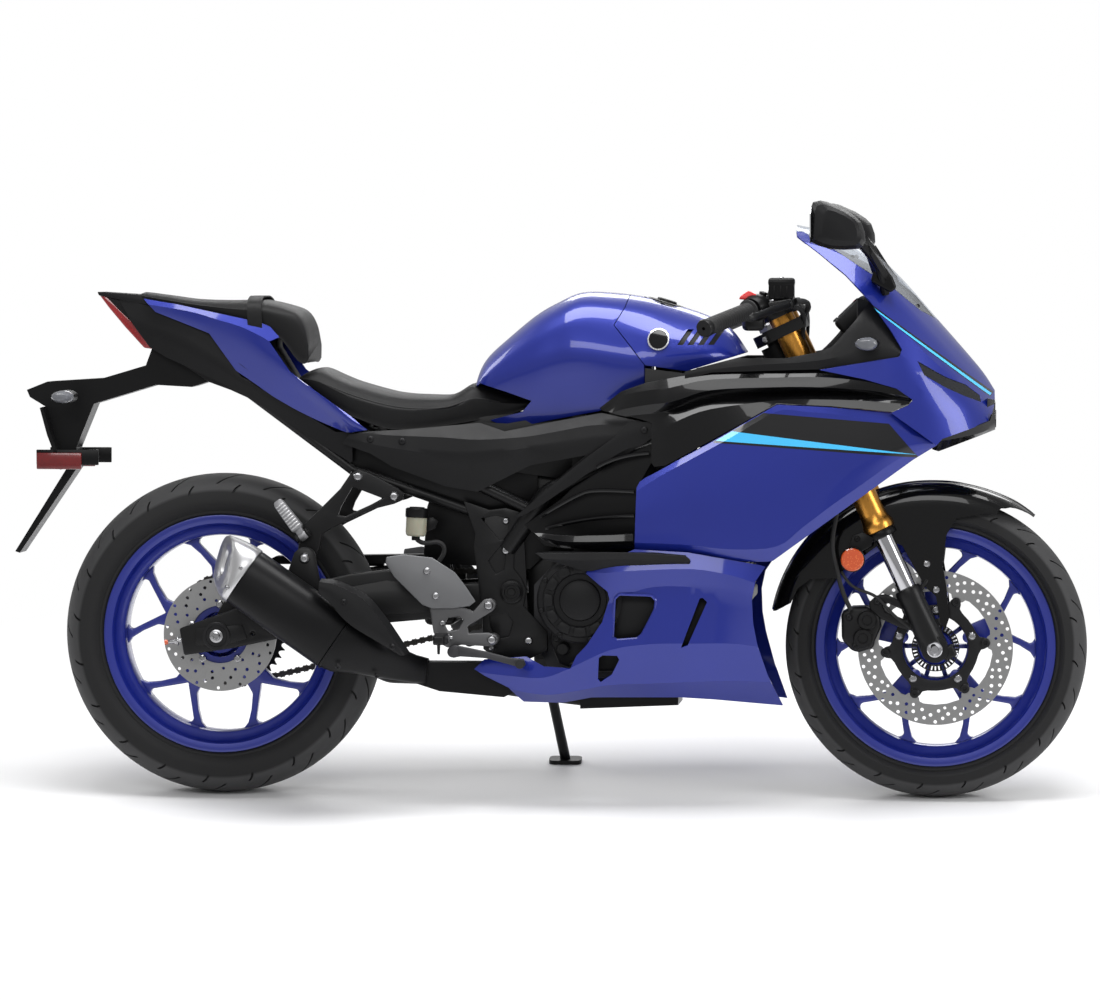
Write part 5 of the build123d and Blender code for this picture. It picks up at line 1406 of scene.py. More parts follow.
blade_rows = sections_of(
    (620, 186,482, 206,477, 208,468, 190,452),
    (700, 192,484, 211,478, 213,464, 192,444),
    (800, 196,485, 216,479, 218,466, 196,440),
    (925, 198,482, 214,472, 215,462, 198,446))
blade_outline = pairs(624,478, 657,481, 854,480, 912,475, 922,466, 919,452, 886,441, 790,444, 729,439,
    640,466)
panel("trim_blades", blade_rows, blade_outline, black_plastic, crease=(1, 2))
inner_rows = sections_of(
    (560, 120,600, 126,560, 120,500),
    (700, 140,640, 146,560, 138,480),
    (860, 168,690, 176,560, 168,470))
panel("knee_infill_panels", inner_rows, pairs(598,528, 668,578, 690,600, 842,694, 846,652, 818,603, 812,486,
    700,484, 640,484), dark_plastic)

# Dark plates inside the bodywork: painted shade for the interior seen through gaps.
interior_shade_sheets = [plate(pairs(380,690, 380,716, 470,726, 520,736, 600,744, 600,690), -76, -73, 1),
    plate(pairs(396,452, 404,560, 420,610, 500,640, 700,650, 735,620, 690,520, 604,440, 505,446), -79, -75,
    1), plate(pairs(600,300, 600,470, 660,500, 690,470, 652,420, 644,300), -72, -66, 1),
    plate(pairs(500,640, 500,726, 560,722, 650,738, 742,752, 800,772, 842,790, 846,660, 700,610), -97, -94,
    1), plate(pairs(236,650, 262,700, 300,712, 620,640, 620,560, 545,528, 262,626), -96, -93, 1),
    plate([(690, 470), (720, 650), (846, 690), (846, 470)], -112, -108, 1)]
piece("inner_side_shade_sheets", both(*interior_shade_sheets), dark_plastic)
wing_rows = sections_of(
    (616, 180,522, 194,517, 200,512, 186,500),
    (680, 186,516, 202,511, 206,500, 190,482),
    (760, 190,516, 208,512, 211,500, 192,480),
    (814, 194,520, 209,515, 211,502, 194,482))
panel("upper_trim_blades", wing_rows, pairs(620,517, 637,503, 675,487, 760,483, 812,487, 812,516, 703,510,
    647,515), gloss_black, crease=(1, 2))
infill_ribs = [tube(path, 4, 8, 3) for path in ([(630, -150, 545), (701, -160, 588), (739, -166, 598),
    (812, -178, 594)], [(640, -152, 522), (720, -166, 545), (812, -178, 548)], [(740, -168, 640),
    (780, -174, 664), (840, -178, 668)])]
piece("knee_infill_ribs", both(*infill_ribs), gloss_black)

# %% [markdown]
# ## Nose, screen and cockpit
# The nose is an arch of smooth sections that narrow to the front. One sheet serves the painted cowl, the
# clear screen and the lamps, so that they meet flush. Two creases run along each flank to the tip.

# %% Nose
hood_rows = sections_of(
    (1108, 0,1106, 70,1101, 132,1078, 172,1020, 196,900, 204,700),
    (1150, 0,1097, 72,1091, 135,1067, 175,1011, 198,890, 206,700),
    (1190, 0,1086, 75,1079, 138,1054, 178,1000, 200,880, 208,700),
    (1255, 0,1058, 76,1050, 138,1020, 180,965, 202,862, 210,700),
    (1320, 0,998, 70,988, 130,956, 176,906, 200,825, 208,700),
    (1381, 0,929, 58,919, 112,890, 160,846, 189,778, 198,680),
    (1440, 0,862, 42,853, 86,828, 130,795, 160,752, 172,672),
    (1475, 0,820, 28,812, 60,794, 99,769, 128,736, 140,668),
    (1497, 0,786, 18,780, 42,766, 74,748, 98,722, 112,664))
cowl_crease = (2, 3)
cowl_outline = pairs(1118,1092, 1130,1091, 1191,1057, 1258,1013, 1290,995, 1354,941, 1384,924, 1400,916,
    1520,812, 1500,770, 1489,728, 1400,697, 1389,684.6, 1303,746.6, 1336,761, 1344,771.2, 1313,792.8,
    1250,810.8, 1166,828, 1318,853, 1323,867, 1304,899, 1260,961, 1215,1008, 1167,1047, 1120,1083)
lamp_slit = pairs(1352,845, 1404,815, 1443,799, 1470,778, 1473,765, 1440,778, 1404,795, 1365,818)
panel("nose_cowl", hood_rows, cowl_outline, nose_blue, ["front_cowl"], cowl_crease, [lamp_slit], centre=True,
    thickness=3.2, along=5, sharp=14)
screen_rows = [(x, *[(y, z + (0.3 if k < 3 else 0)) for k, (y, z) in enumerate(points)])
    for x, *points in hood_rows]
screen_edge = pairs(1116,1112, 1117,1094, 1130,1092, 1191,1058, 1258,1014, 1290,996, 1354,942, 1384,925,
    1400,917, 1390,960, 1300,1112)
panel("clear_windscreen", screen_rows, screen_edge, clear_screen, ["windscreen"], centre=True, along=6,
    across=4, bevel=0.6)
band_rows = [(x, *[(max(y, 0), z) for y, z in points]) for x, *points in moved(hood_rows, -3.4, -3.2)]
panel("screen_rubber_band", band_rows, pairs(1180,1064, 1258,1014, 1290,996, 1354,942, 1388,922, 1392,931,
    1296,1006, 1262,1023), dark_plastic, thickness=1.6, bevel=0.4)
screen_screws = joined(*[bolt((x, side * y, z), (0.4, side * 0.8, 0.5), 4.5, 2.6) for side in (-1, 1)
    for x, y, z in ((1296, 90, 1004), (1350, 77, 949), (1226, 124, 1043))])
piece("screen_screws", screen_screws, dark_steel, slot="chrome")

# %% Headlights
lamp_room = pairs(1348,850, 1404,822, 1446,804, 1476,782, 1478,760, 1440,772, 1400,789, 1358,814)
panel("lamp_trays", moved(hood_rows, -12, -3), lamp_room, dark_plastic, thickness=2, bevel=0.3)
panel("headlight_lenses", moved(hood_rows, -1.6, -0.4), lamp_slit, lamp_cover, ["headlights"], (3,),
    thickness=1.6, bevel=0.3, along=6)
upper_path = [(1364, -158, 833), (1404, -139, 808), (1440, -116, 792), (1464, -92, 776)]
lower_path = [(1378, -163, 816), (1412, -146, 799), (1440, -127, 785), (1460, -108, 772)]
tubes = joined(tube(upper_path, 4.2, 8, 3), tube(lower_path, 3.0, 8, 3))
piece("headlight_light_tubes", both(tubes), lamp_glow)
projectors = joined(*[turned(pairs(0,3, 6,2.4, 9,0, 10.5,0, 12,-3, 12,-14, 0,-14), (x, -y, z),
    (1, -0.5, -0.1), 32) for x, y, z in ((1392, 146, 816), (1426, 124, 797))])
piece("headlight_projectors", both(projectors), lamp_glow)

# %% Chin and air intake
chin_rows = sections_of(
    (1376, 182,712, 176,690, 150,668),
    (1404, 186,712, 178,694, 140,668),
    (1440, 168,722, 158,700, 118,676),
    (1475, 138,730, 128,708, 88,690),
    (1499, 104,745, 96,720, 60,700))
chin_edge = pairs(1389,684, 1400,698, 1489,729, 1500,760, 1499,712, 1440,690, 1392,672, 1380,676)
panel("chin_spoiler", chin_rows, chin_edge, gloss_black, crease=(1,))
nose_beak = skin([[(1484, y, z) for y, z in ((-96, 735), (-96, 772), (96, 772), (96, 735))],
    [(1497, y, z) for y, z in ((-60, 728), (-50, 768), (50, 768), (60, 728))]])
piece("nose_intake_frame", nose_beak, dark_plastic)
mesh_bars = joined(*[block((1493.5, y, 750), (9, 3, 26), 0.6) for y in range(-40, 50, 16)])
piece("nose_intake_bars", mesh_bars, gloss_black)

# %% Cockpit panels beside the dials
cockpit_rows = sections_of(
    (900, 168,840, 184,828, 188,815, 184,800),
    (960, 166,862, 184,846, 192,828, 190,812),
    (1060, 160,872, 182,856, 194,838, 192,816),
    (1130, 158,880, 184,862, 196,842, 193,818),
    (1190, 150,912, 180,884, 197,850, 193,818),
    (1240, 142,960, 176,920, 197,862, 195,812),
    (1290, 140,958, 174,905, 193,862, 193,815),
    (1332, 150,890, 170,874, 186,858, 189,830))
cockpit_outline = pairs(909,808.5, 909,824, 1010,850, 1100,850, 1160,861, 1190,872, 1232,920, 1262,960,
    1304,899, 1323,867, 1318,853, 1166,829, 960,822.6)
panel("cockpit_side_panels", cockpit_rows, cockpit_outline, black_plastic, ["cockpit_panels"], (2,))
infill_rows = sections_of(
    (820, 150,850, 160,800, 166,740),
    (930, 156,860, 170,812, 172,740),
    (1080, 150,868, 172,816, 176,740))
panel("tank_to_duct_infill", infill_rows, pairs(742,742, 798,768, 831,788, 831,830, 909,820, 985,843,
    1060,846, 1060,800, 860,735, 846,690, 744,720), dark_plastic)

# %% Dials
dial_lean = radians(46)
dial_tilt = Matrix.Rotation(dial_lean, 3, "Y")
dial_up = Vector((sin(dial_lean), 0, cos(dial_lean)))
dial_out = Vector((-cos(dial_lean), 0, sin(dial_lean)))
dial_centre = Vector((1216, 0, 944))
dial_body = block(dial_centre - dial_out * 17, (34, 168, 80), 9, 3, dial_tilt)
dial_glass = block(dial_centre + dial_out, (3, 136, 50), 3, 2, dial_tilt)
piece("dial_case", joined(dial_body, tube([(1228, 0, 920), (1180, 0, 850), (1112, 0, 812)], 12, 12)),
    black_plastic, ["cockpit"])
piece("dial_glass", dial_glass, dial_face)
stay = joined(block((1246, 0, 912), (12, 346, 22), 3), rod((1252, -120, 918), (1330, -120, 850), 8),
    rod((1252, 120, 918), (1330, 120, 850), 8), block((1250, 0, 925), (12, 60, 50), 3))
piece("dial_stay", stay, frame_satin)


def on_dial(up_by, out_by, profile, steps, *places):
    """Small turned parts on the dials' face, at places across it."""
    middle = dial_centre + dial_up * up_by + dial_out * out_by
    return joined(*[turned(profile, beside(middle, y), dial_out, steps) for y in places])


dial_buttons = on_dial(-33, -0.5, [(0, 4), (5, 3.6), (6.5, 0), (0, 0)], 20, -50, 50)
piece("dial_buttons", dial_buttons, grip_rubber, slot="black_plastic")
indicator_row = on_dial(18, 2.4, [(0, 1), (3.4, 0.8), (4, 0), (0, 0)], 16, -52, -35, 35, 52)
piece("dial_warning_lamps", indicator_row, orange_lens, slot="lamp_lens")
inner_shell_rows = sections_of(
    (1130, 0,1040, 70,1030, 120,1000, 150,950, 160,880),
    (1250, 0,1000, 70,990, 118,965, 152,925, 168,860),
    (1330, 0,930, 60,922, 110,898, 150,868, 168,830))
panel("cowl_inner_tray", inner_shell_rows, pairs(1236,870, 1236,965, 1262,958, 1330,900, 1330,860),
    black_plastic, centre=True)

# %% Mirrors
mirror_plan = pairs(1158,1146, 1172,1149, 1186,1146, 1218,1132, 1238,1119, 1249,1108, 1256,1088, 1257,1072,
    1252,1063, 1244,1058, 1218,1056, 1191,1057, 1170,1063, 1154,1071, 1151,1080, 1154,1135)


def mirror_shell(outline, out, grow, deep):
    """The mirror's outline at one depth, shrunk about its middle."""
    return [(1203 + (x - 1203) * grow - deep, -out, 1100 + (z - 1100) * grow) for x, z in outline]


mirror_rings = ((250, 0.52, -14), (262, 0.78, -6), (284, 0.94, -2), (312, 1.0, 0), (340, 0.97, 0),
    (356, 0.84, -2), (362, 0.62, -6))
shell = skin([mirror_shell(mirror_plan, *ring) for ring in mirror_rings])
ease(shell, 1.6, steep_edges(shell, 0.9), 2, True)
piece("mirror_shells", both(shell), black_plastic, ["mirrors"], sharp=24)
glass_outline = ((0.02, -0.5), (0.2, -0.9), (0.8, -0.95), (0.98, -0.6), (1.0, 0.7), (0.85, 1.1), (0.2, 1.1),
    (0.02, 0.8))
glass = skin([[(1153.4 + 0.4 * d, -262 - 94 * u, 1100 + 34 * v * (1 - 0.2 * (1 - u)))
    for u, v in glass_outline] for d in (0, 5)])
piece("mirror_glasses", both(glass), mirror_glass)
stem_arm = tube([(1290, -150, 972), (1284, -166, 1012), (1268, -196, 1042), (1246, -236, 1068),
    (1228, -268, 1086)], 8.5, 12)
stem_foot = plate(pairs(1262,996, 1300,974, 1312,984, 1304,1004, 1282,1034, 1270,1030), -168, -148, 5,
    segments=3)
stem_web = skin([[(1266, -150, 1008), (1300, -146, 978), (1308, -146, 990), (1284, -152, 1032)],
    [(1252, -222, 1054), (1264, -220, 1046), (1268, -222, 1054), (1260, -226, 1066)]])
stem = joined(stem_arm, stem_foot, stem_web)
piece("mirror_stems", both(stem), dark_plastic)

# %% Turn signals
def signal_pod(place, out, size):
    """Small tapered lamp on a rubber stalk, for the right side."""
    x, y, z = place
    stalk = rod((x, y, z), (x, y - out * 0.45, z), 6.5, 5.5)
    ribs = joined(*[turned(pairs(5,0, 8,0, 8.4,1.2, 8,2.4, 5,2.4), (x, y - out * (0.08 + 0.09 * k), z),
        right, 24) for k in range(4)])
    base = [(x + size * 1.5 * cos(a) * (1.25 if cos(a) < 0 else 1.0), z + size * sin(a)) for a in turns(20)]

    def slice_at(share, grow, back=0.0):
        return [((px - x) * grow + x - back, y - out * share, (pz - z) * grow + z) for px, pz in base]

    shell = skin([slice_at(0.40, 0.45), slice_at(0.44, 0.80), slice_at(0.55, 1.0), slice_at(0.80, 1.0, 3)])
    front = skin([slice_at(0.80, 0.97, 3), slice_at(0.92, 0.88, 5), slice_at(0.99, 0.6, 8),
        slice_at(1.0, 0.3, 9)])
    return joined(stalk, ribs), shell, front


pods = []
for place, out, size in (((1262, -188, 878), 72, 13), ((-290, -52, 773), 118, 13)):
    pods.append(signal_pod(place, out, size))
stalks, shells, lenses = zip(*pods)
piece("signal_stalks", both(*stalks), grip_rubber)
piece("signal_shells", both(*shells), dark_plastic, ["front_signals", "rear_signals"])
piece("signal_lenses", both(*lenses), smoked_lens)

# %% [markdown]
# ## Swing arm, frame plates and shock
# The swing arm's legs are outlines pushed out and given soft edges. The frame keeps its own shape, and
# thin castings laid over its pivot plates give them ribs and windows. The spring is a tube along a helix.

# %% Rear suspension
pivot = Vector((571, 0, 398))
arm_leg = pairs(-73,325, -64,273, 29,287, 115,305, 300,335, 462,350, 462,425, 400,438, 330,440, 260,432,
    197,418, 41,366)
spool_hole = circle_outline(70, 316, 3.4, 16)
leg = plate(arm_leg, -128, -103, 4, [spool_hole], 3)
leg_rib = plate(pairs(150,330, 300,350, 440,362, 440,408, 330,420, 200,396, 120,370), -130, -127, 1.4)
leg_slot = plate(pairs(-42,326, -40,292, 26,296, 60,306, 50,334, 20,330), -130.5, -127, 1.2)
fork_arm = plate(pairs(440,340, 571,374, 592,390, 592,406, 571,420, 440,410), -97, -58, 5, segments=3)
link_tab = plate([(398, 412), (448, 412), (438, 488), (418, 488)], -24, -14.5, 2)
arm = both(leg, leg_rib, leg_slot, fork_arm, link_tab)
bridge = block((431, 0, 371), (62, 206, 78), 12, 3)
piece("swing_arm_casting", joined(arm, bridge, pin_across(pivot, -97, 97, 20)), frame_satin, ["swing_arm"])


def nut(place, direction, across, height, bore=0.0):
    """Flanged hexagon nut."""
    flange = turned([(bore, 0), (across * 0.82, 0), (across * 0.82, 1.6), (across * 0.6, 3), (bore, 3)],
        place, direction, 36)
    hexagon = turned([(bore, 0), (across * 0.56, 0), (across * 0.56, height - 1), (across * 0.5, height),
        (bore, height)], place, direction, 6)
    return joined(flange, hexagon)


ends = []
for side in (-1, 1):
    ends += [nut(beside(rear_axle, side * 133), (0, side, 0), 15.5, 10, 8), turned(pairs(8,0, 8,13, 6.5,14.5,
        5,14.5, 4.4,9, 0,9), beside(rear_axle, side * 131), (0, side, 0), 32), rod((-96, side * 115, 298),
        (-66, side * 115, 302), 4), nut((-76, side * 115, 300), (-1, 0, 0), 11, 7)]
spacers = [pin_across(rear_axle, *run) for run in ((-128, 128, 10), (-103, -82, 17), (91, 103, 17))]
piece("rear_axle_nuts", joined(*ends, *spacers), zinc, ["rear_spindle"])
tips = [rod((-103, side * 115, 297.5), (-96, side * 115, 298), 5.5, 4) for side in (-1, 1)]
washers = [turned(pairs(10,0, 27,0, 27,2, 25.5,3, 21,3, 20,2, 10,2), beside(rear_axle, side * 130),
    (0, side, 0), 48) for side in (-1, 1)]
piece("rear_axle_washers", joined(*washers), dark_steel)
piece("chain_adjuster_tips", joined(*tips), orange_lens)
plate_edge = pairs(478,573, 528,556, 560,560, 587,552, 577,512, 575,443, 590,424, 600,402, 594,371, 640,322,
    640,284, 600,266, 548,266, 516,287, 514,346, 505,429, 497,484, 500,511)
plate_windows = [pairs(512,540, 548,498, 563,500, 566,540, 540,546), pairs(526,458, 550,488, 562,486,
    556,440, 540,432), pairs(530,330, 528,352, 562,358, 574,340, 566,312, 540,306),
    circle_outline(571, 398, 16, 24)]
cover = plate(plate_edge, -114, -110, 1.6, plate_windows)
shade_plate = plate(pairs(520,556, 578,548, 566,440, 580,350, 560,300, 524,300, 512,440), -110.6, -110, 0.2)
caps = joined(turned(pairs(0,10, 7,10, 8,8, 13,8, 14,12, 17,12, 18,8, 22,6, 22,0, 0,0), beside(pivot, -114),
    right, 48))
piece("pivot_plates", both(cover, shade_plate, caps), frame_satin)
frame_screws = bolts(right, (604, -114, 304, 8, 6), (560, -114, 478, 8, 6), (532, -114, 290, 6, 6),
    (886, -106.4, 640, 9, 6), (560, -114, 535, 6, 6))
piece("frame_screws", both(frame_screws), zinc)
shock_low, shock_high = Vector((428, 0, 486)), Vector((494, 0, 592))
shock_way = (shock_high - shock_low).normalized()
across = shock_way.cross(Vector((0, 1, 0)))
helix = []
for k in range(73):
    round_shock = beside(across * sin(k * pi / 6), cos(k * pi / 6)) * 20
    helix.append(shock_low + shock_way * (22 + 80 * k / 72) + round_shock)
piece("shock_spring", tube([tuple(p) for p in helix], 4, 8, 3), dark_steel)
spring_seat = turned(pairs(0,0, 23,0, 24,3, 14,9, 0,9), shock_low + shock_way * 12, shock_way, 32)
spring_top = rod(shock_high - shock_way * 22, shock_high - shock_way * 10, 24)
shock = [rod(shock_low, shock_high, 12), spring_seat, spring_top]
shock += [pin_across(eye, -13, 13, 15) for eye in (shock_low, shock_high)]
piece("shock_body", joined(*shock), dark_plastic, ["rear_shock"], slot="frame_black")
dress(frame_satin, "frame", "rear_caliper", "yokes", "side_stand")
dress(dark_plastic, "chain_guard", "plate_holder")
dress(engine_block, "engine")
dress(exhaust_satin, "exhaust")

# %% [markdown]
# ## Engine covers and radiator
# The clutch cover is a turned drum with a ring of raised segments. Fins across the radiator's face and a
# rib round each cover break up the large flat areas.

# %% Engine covers
clutch, generator = Vector((708, 0, 386)), Vector((772, 0, 342))
right_case = plate(pairs(648,420, 648,300, 665,260, 700,246, 850,246, 900,290, 900,400, 860,430, 800,462,
    700,470, 664,450), -140, -86.3, 7, segments=3)
drum = turned(pairs(84,0, 84,28, 80,34, 72,36, 70,40, 52,42, 50,38, 40,38, 38,44, 30,48, 0,48),
    beside(clutch, -140), right, 72)
segment = pairs(54,-11, 68,-11, 70,0, 68,11, 54,11, 52,0)
segments_out = [shifted(plate(polar(segment, 1, 30 * k), -186, -179, 1.2), clutch) for k in range(12)]
left_case = plate(pairs(712,250, 850,246, 900,290, 900,400, 860,412, 820,418, 712,415), 72.3, 140, 7,
    segments=3)
alternator = turned(pairs(62,0, 62,10, 58,16, 46,16, 44,13, 30,13, 28,17, 0,17), beside(generator, 140),
    (0, 1, 0), 60)
sprocket_lid = plate(pairs(606,380, 606,425, 630,445, 690,440, 720,430, 720,345, 630,345), 99, 110, 3)
small_lids = [turned([(13, 0), (13, 10), (10, 13), (0, 13)], (672, -139, 290), right, 24),
    turned([(20, 0), (20, 5), (17, 8), (0, 8)], (800, -139, 300), right, 32)]
piece("engine_cover_castings", joined(right_case, drum, *segments_out, left_case, alternator, sprocket_lid,
    *small_lids), engine_cast, ["engine_covers"])
cover_screws = [bolt(place, right, 5, 4) for place in round_axis(clutch, 77, -174, 15, 8)]
cover_screws += [bolt((x, -139.5, z), right, 6, 5) for x, z in ((660, 310), (690, 260), (845, 258),
    (888, 300), (888, 396), (806, 450))]
cover_screws += [bolt((x, 139.5, z), (0, 1, 0), 6, 5) for x, z in ((722, 262), (846, 258), (888, 298),
    (888, 396), (722, 404))]
piece("engine_cover_screws", joined(*cover_screws), dark_steel, slot="engine_grey")
cooling = [block((1010, 0, 406 + 9 * k), (38, 316, 1.4), 0) for k in range(26)]
core = [block((1010, 0, 520), (30, 312, 236), 0), block((1010, 0, 649), (44, 322, 27), 5),
    block((1010, 0, 391), (44, 322, 23), 5)]
stays = [block((1007, side * 54, 688), (14, 16, 56), 2) for side in (-1, 1)]
piece("radiator_core", joined(*cooling, *core, *stays), radiator_black, ["radiator"])
hoses = [tube([(1010, -150, 640), (990, -140, 680), (930, -96, 660), (900, -84, 640)], 15, 16),
    tube([(1008, 140, 396), (980, 132, 372), (940, 110, 340), (902, 96, 330)], 15, 16)]
piece("coolant_hoses", joined(*hoses), grip_rubber)

# %% [markdown]
# ## Silencer
# An oval section is carried along the silencer's axis. Towards the front it shrinks into the pipe, and at
# the back a brushed cap leans over and closes round a slot.

# %% Exhaust
silencer_front, silencer_rear = Vector((247, -212, 303)), Vector((66, -214, 430))
silencer_way = (silencer_rear - silencer_front).normalized()
silencer_up = Vector((0, 1, 0)).cross(silencer_way).normalized()
if silencer_up.z < 0:
    silencer_up = -silencer_up


def oval(centre, half_height, half_width, power=2.7, slant=0.0, tall=None, count=48, yaw=0.0):
    """Rounded section across the silencer; slant leans its plane over."""
    points = []
    for a in turns(count):
        c, s = cos(a), sin(a)
        u = half_height * (1 if s > 0 else -1) * abs(s) ** (2 / power)
        v = half_width * (1 if c > 0 else -1) * abs(c) ** (2 / power)
        along = silencer_way * (slant * u + yaw * v)
        points.append(beside(centre, v) + (tall or silencer_up) * u + along)
    return points


def on_silencer(s):
    return silencer_rear + silencer_way * s


can = skin([oval(on_silencer(s), 58.5 * g, 52 * g) for s, g in ((-214, 0.985), (-212, 1.0), (-120, 1.005),
    (-3, 1.0), (-1, 0.985))])
piece("silencer_can", can, exhaust_satin, ["silencer"])
funnel_stops = [((244, -212, 305), 57, 51, 0.0), ((262, -210, 296), 55, 50, 0.1), ((300, -200, 284), 44, 44,
    0.3), ((346, -174, 264), 33, 35, 0.6), ((386, -136, 250), 27, 27, 1.0), ((408, -112, 244), 25, 25, 1.0)]
funnel = skin([oval(centre, h, w, 2.7 - 0.5 * share, 0, silencer_up.lerp(Vector((0.1, 0, 1)),
    share).normalized()) for centre, h, w, share in funnel_stops])
seam_ring = skin([oval(on_silencer(s), 58.5 + g, 52 + g) for s, g in ((-219, 0.6), (-217, 1.2), (-216, 1.2),
    (-214.5, -2))])
piece("silencer_funnel", joined(funnel, seam_ring), exhaust_satin)
cap_rings = [(0.3, 59.2, 52.8, 0.0), (2, 60, 53.5, 0.0), (14, 59.6, 53, 0.04), (26, 57, 50, 0.12),
    (38, 53.5, 46.5, 0.22), (46, 49.5, 42.5, 0.32), (49.5, 46, 39, 0.34), (50.5, 43, 36, 0.34),
    (48.5, 25, 12, 0.34), (47, 23, 10, 0.34), (30, 22.5, 9.5, 0.34)]
cap = skin([oval(on_silencer(s), h, w, 2.6, slant, yaw=slant * 1.5) for s, h, w, slant in cap_rings],
    caps=False)
piece("silencer_end_cap", cap, brushed_alloy, ["silencer_cap"])
# The outlet's near-black colour is soot, and its closed inner end is painted shade for the depth of the
# slot.
soot_and_shade = Finish("soot and painted shade in the outlet", (0.002, 0.002, 0.002), 0.8, 0.0, Specular_IOR_Level=0.1).shade(0.3, 60)
piece("silencer_outlet", skin([oval(on_silencer(s), 23.4, 10.4, 2.6, 0.34, yaw=0.5) for s in (41, 8)]), soot_and_shade,
    slot="exhaust_black")
cap_screws = [bolt(on_silencer(12) + silencer_up * u + Vector((0, v, 0)), (0, v, 0), 4, 3)
    for u, v in ((16, -53), (-30, -51), (16, 53), (-30, 51))]
piece("silencer_cap_screws", joined(*cap_screws), zinc)
shield_stops = [((214, -262, 401), (216, -265, 424), (217, -238, 429)), ((240, -266, 380), (250, -268, 417),
    (252, -238, 424)), ((258, -268, 358), (300, -268, 391), (304, -236, 398)), ((284, -268, 336),
    (334, -266, 350), (340, -234, 357)), ((330, -262, 308), (358, -262, 316), (364, -230, 322)),
    ((370, -256, 283), (379, -256, 284), (386, -230, 288))]
bulge = Vector((0, -3, 0))
shield = sheet([(low, (Vector(low) + Vector(top)) / 2 + bulge, top, top, flange)
    for low, top, flange in shield_stops])
piece("heat_shield_panel", shield, black_plastic, ["heat_shield"], slot="frame_black", thickness=2,
    bevel=0.6)
shield_screws = [bolt(p, d, 5.5, 3.5) for p, d in (((264, -272, 386), right), ((356, -262, 300), right),
    ((252, -262, 262), (-0.2, -1, -0.4)), ((322, -222, 243), (-0.2, -1, -0.6)))]
piece("heat_shield_screws", joined(*shield_screws), dark_steel, slot="exhaust_black")
hanger = plate(pairs(159,476, 170,485, 188,485, 198,475, 214,392, 140,420), -190, -180, 2)
damper = turned(pairs(0,15, 10,15, 12,13, 19,13, 21,10, 21,0, 0,0), (179, -176, 465), right, 40)
piece("silencer_hanger", joined(hanger, damper, rod((179, -126, 467), (179, -180, 467), 9)), frame_satin)

# %% [markdown]
# ## Footrests, pedals and brackets
# Everything at the rider's feet is made on the right and mirrored, apart from the brake's fluid pot,
# which is only on the right. The footrests fold, so they ride on bodies of their own.

# %% Brackets at the feet
guard = plate(pairs(332,455, 334,467, 367,472, 422,466, 466,438, 487,411, 506,382, 494,373, 459,368, 422,368,
    403,375, 349,428), -166, -161, 2, segments=3)
guard_alloy = Finish("clear anodised plate", (0.135, 0.137, 0.142), 0.42, 0.35).shade(0.06, 20)
bracket_alloy = Finish("blasted bracket", (0.10, 0.10, 0.103), 0.45, 0.5).shade(0.12, 30)
piece("heel_guards", both(guard), guard_alloy, slot="cast_alloy")
bracket = plate(pairs(416,372, 428,392, 424,440, 436,446, 448,436, 446,380, 494,366, 500,362, 522,386,
    536,388, 545,377, 540,364, 490,334, 492,320, 530,322, 546,317, 548,303, 537,295, 478,298, 452,292,
    434,302, 424,322), -160, -149, 3, [pairs(452,324, 472,328, 482,346, 474,352, 452,350, 446,336)], 3)
posts = [rod((x, -110, z), (x, -154, z), r) for x, z, r in ((531, 374, 11), (537, 308, 11))]
ears = [block((444 + s * 11.1, -170, 313), (5, 22, 17), 1) for s in (-1, 1)]
ears += [rod((444 + s * 8.6, -179, 313), (444 + s * 13.6, -179, 313), 9) for s in (-1, 1)]
piece("step_bracket_castings", both(bracket, *posts, *ears, rod((429, -179, 313), (459, -179, 313), 4)),
    bracket_alloy, ["step_brackets"], slot="cast_alloy")
foot_screws = bolts(right, (412, -166, 440, 7, 4), (429, -166, 392, 7, 4), (531, -160, 374, 9, 6),
    (537, -160, 308, 9, 6), (442, -160, 340, 6, 4), (595, -190, 264, 6, 4), (275, -126, 620, 9, 6),
    (345, -126, 582, 9, 6), (179, -191, 465, 9, 6))
piece("footrest_screws", both(foot_screws, rod((425, -179, 313), (463, -179, 313), 3.5)), zinc)
pedal = plate(pairs(456,292, 466,299, 478,297, 527,287, 574,275, 600,273, 604,262, 598,255, 572,262, 526,274,
    478,277, 464,274, 456,281), -182, -172, 2.6, segments=3)
pedal_parts = joined(pedal, rod((464, -152, 286), (464, -184, 286), 11), rod((594, -174, 264),
    (594, -190, 264), 6))
piece("foot_levers", both(pedal_parts), engine_block)
piece("foot_lever_pads", both(turned(pairs(6,0, 8.5,1, 9,4, 8,6, 9,8, 8,10, 9,12, 8,14, 9,16, 8.5,18, 0,19),
    (594, -184, 264), right, 24)), grip_rubber)

# %% Folding footrests
def peg_frame(base, axis, out):
    """Matrix of a footrest: x along its pin, y outwards along the tread, z up."""
    axis, out = Vector(axis), Vector(out)
    return Matrix.Translation(base) @ Matrix((axis, out, axis.cross(out))).transposed().to_4x4()


def peg_meshes(matrix, length, width, height):
    """Metal footrest with grooves across its tread, and its rubber pad."""
    h = height / 2
    body = skin([[(-a, y, -b), (-a, y, b), (a, y, b), (a, y, -b)] for y, a, b in ((-8, 7.5, 6), (14, 7.5, 7),
        (18, width / 2, h), (length - 6, width / 2 - 2, h - 2), (length, width / 2 - 5, h - 4))])
    ease(body, 1.6)
    eye = rod((-8, 0, 0), (8, 0, 0), 9)
    ribs = [block((0, 22 + 6.4 * k, h - 1 - 0.16 * k), (width - 3 - 0.3 * k, 3, 4), 0.7)
        for k in range(int((length - 26) / 6.4))]
    metal, pads = joined(body, eye), joined(*ribs)
    for bm in (metal, pads):
        bmesh.ops.transform(bm, matrix=matrix, verts=bm.verts)
    return metal, pads


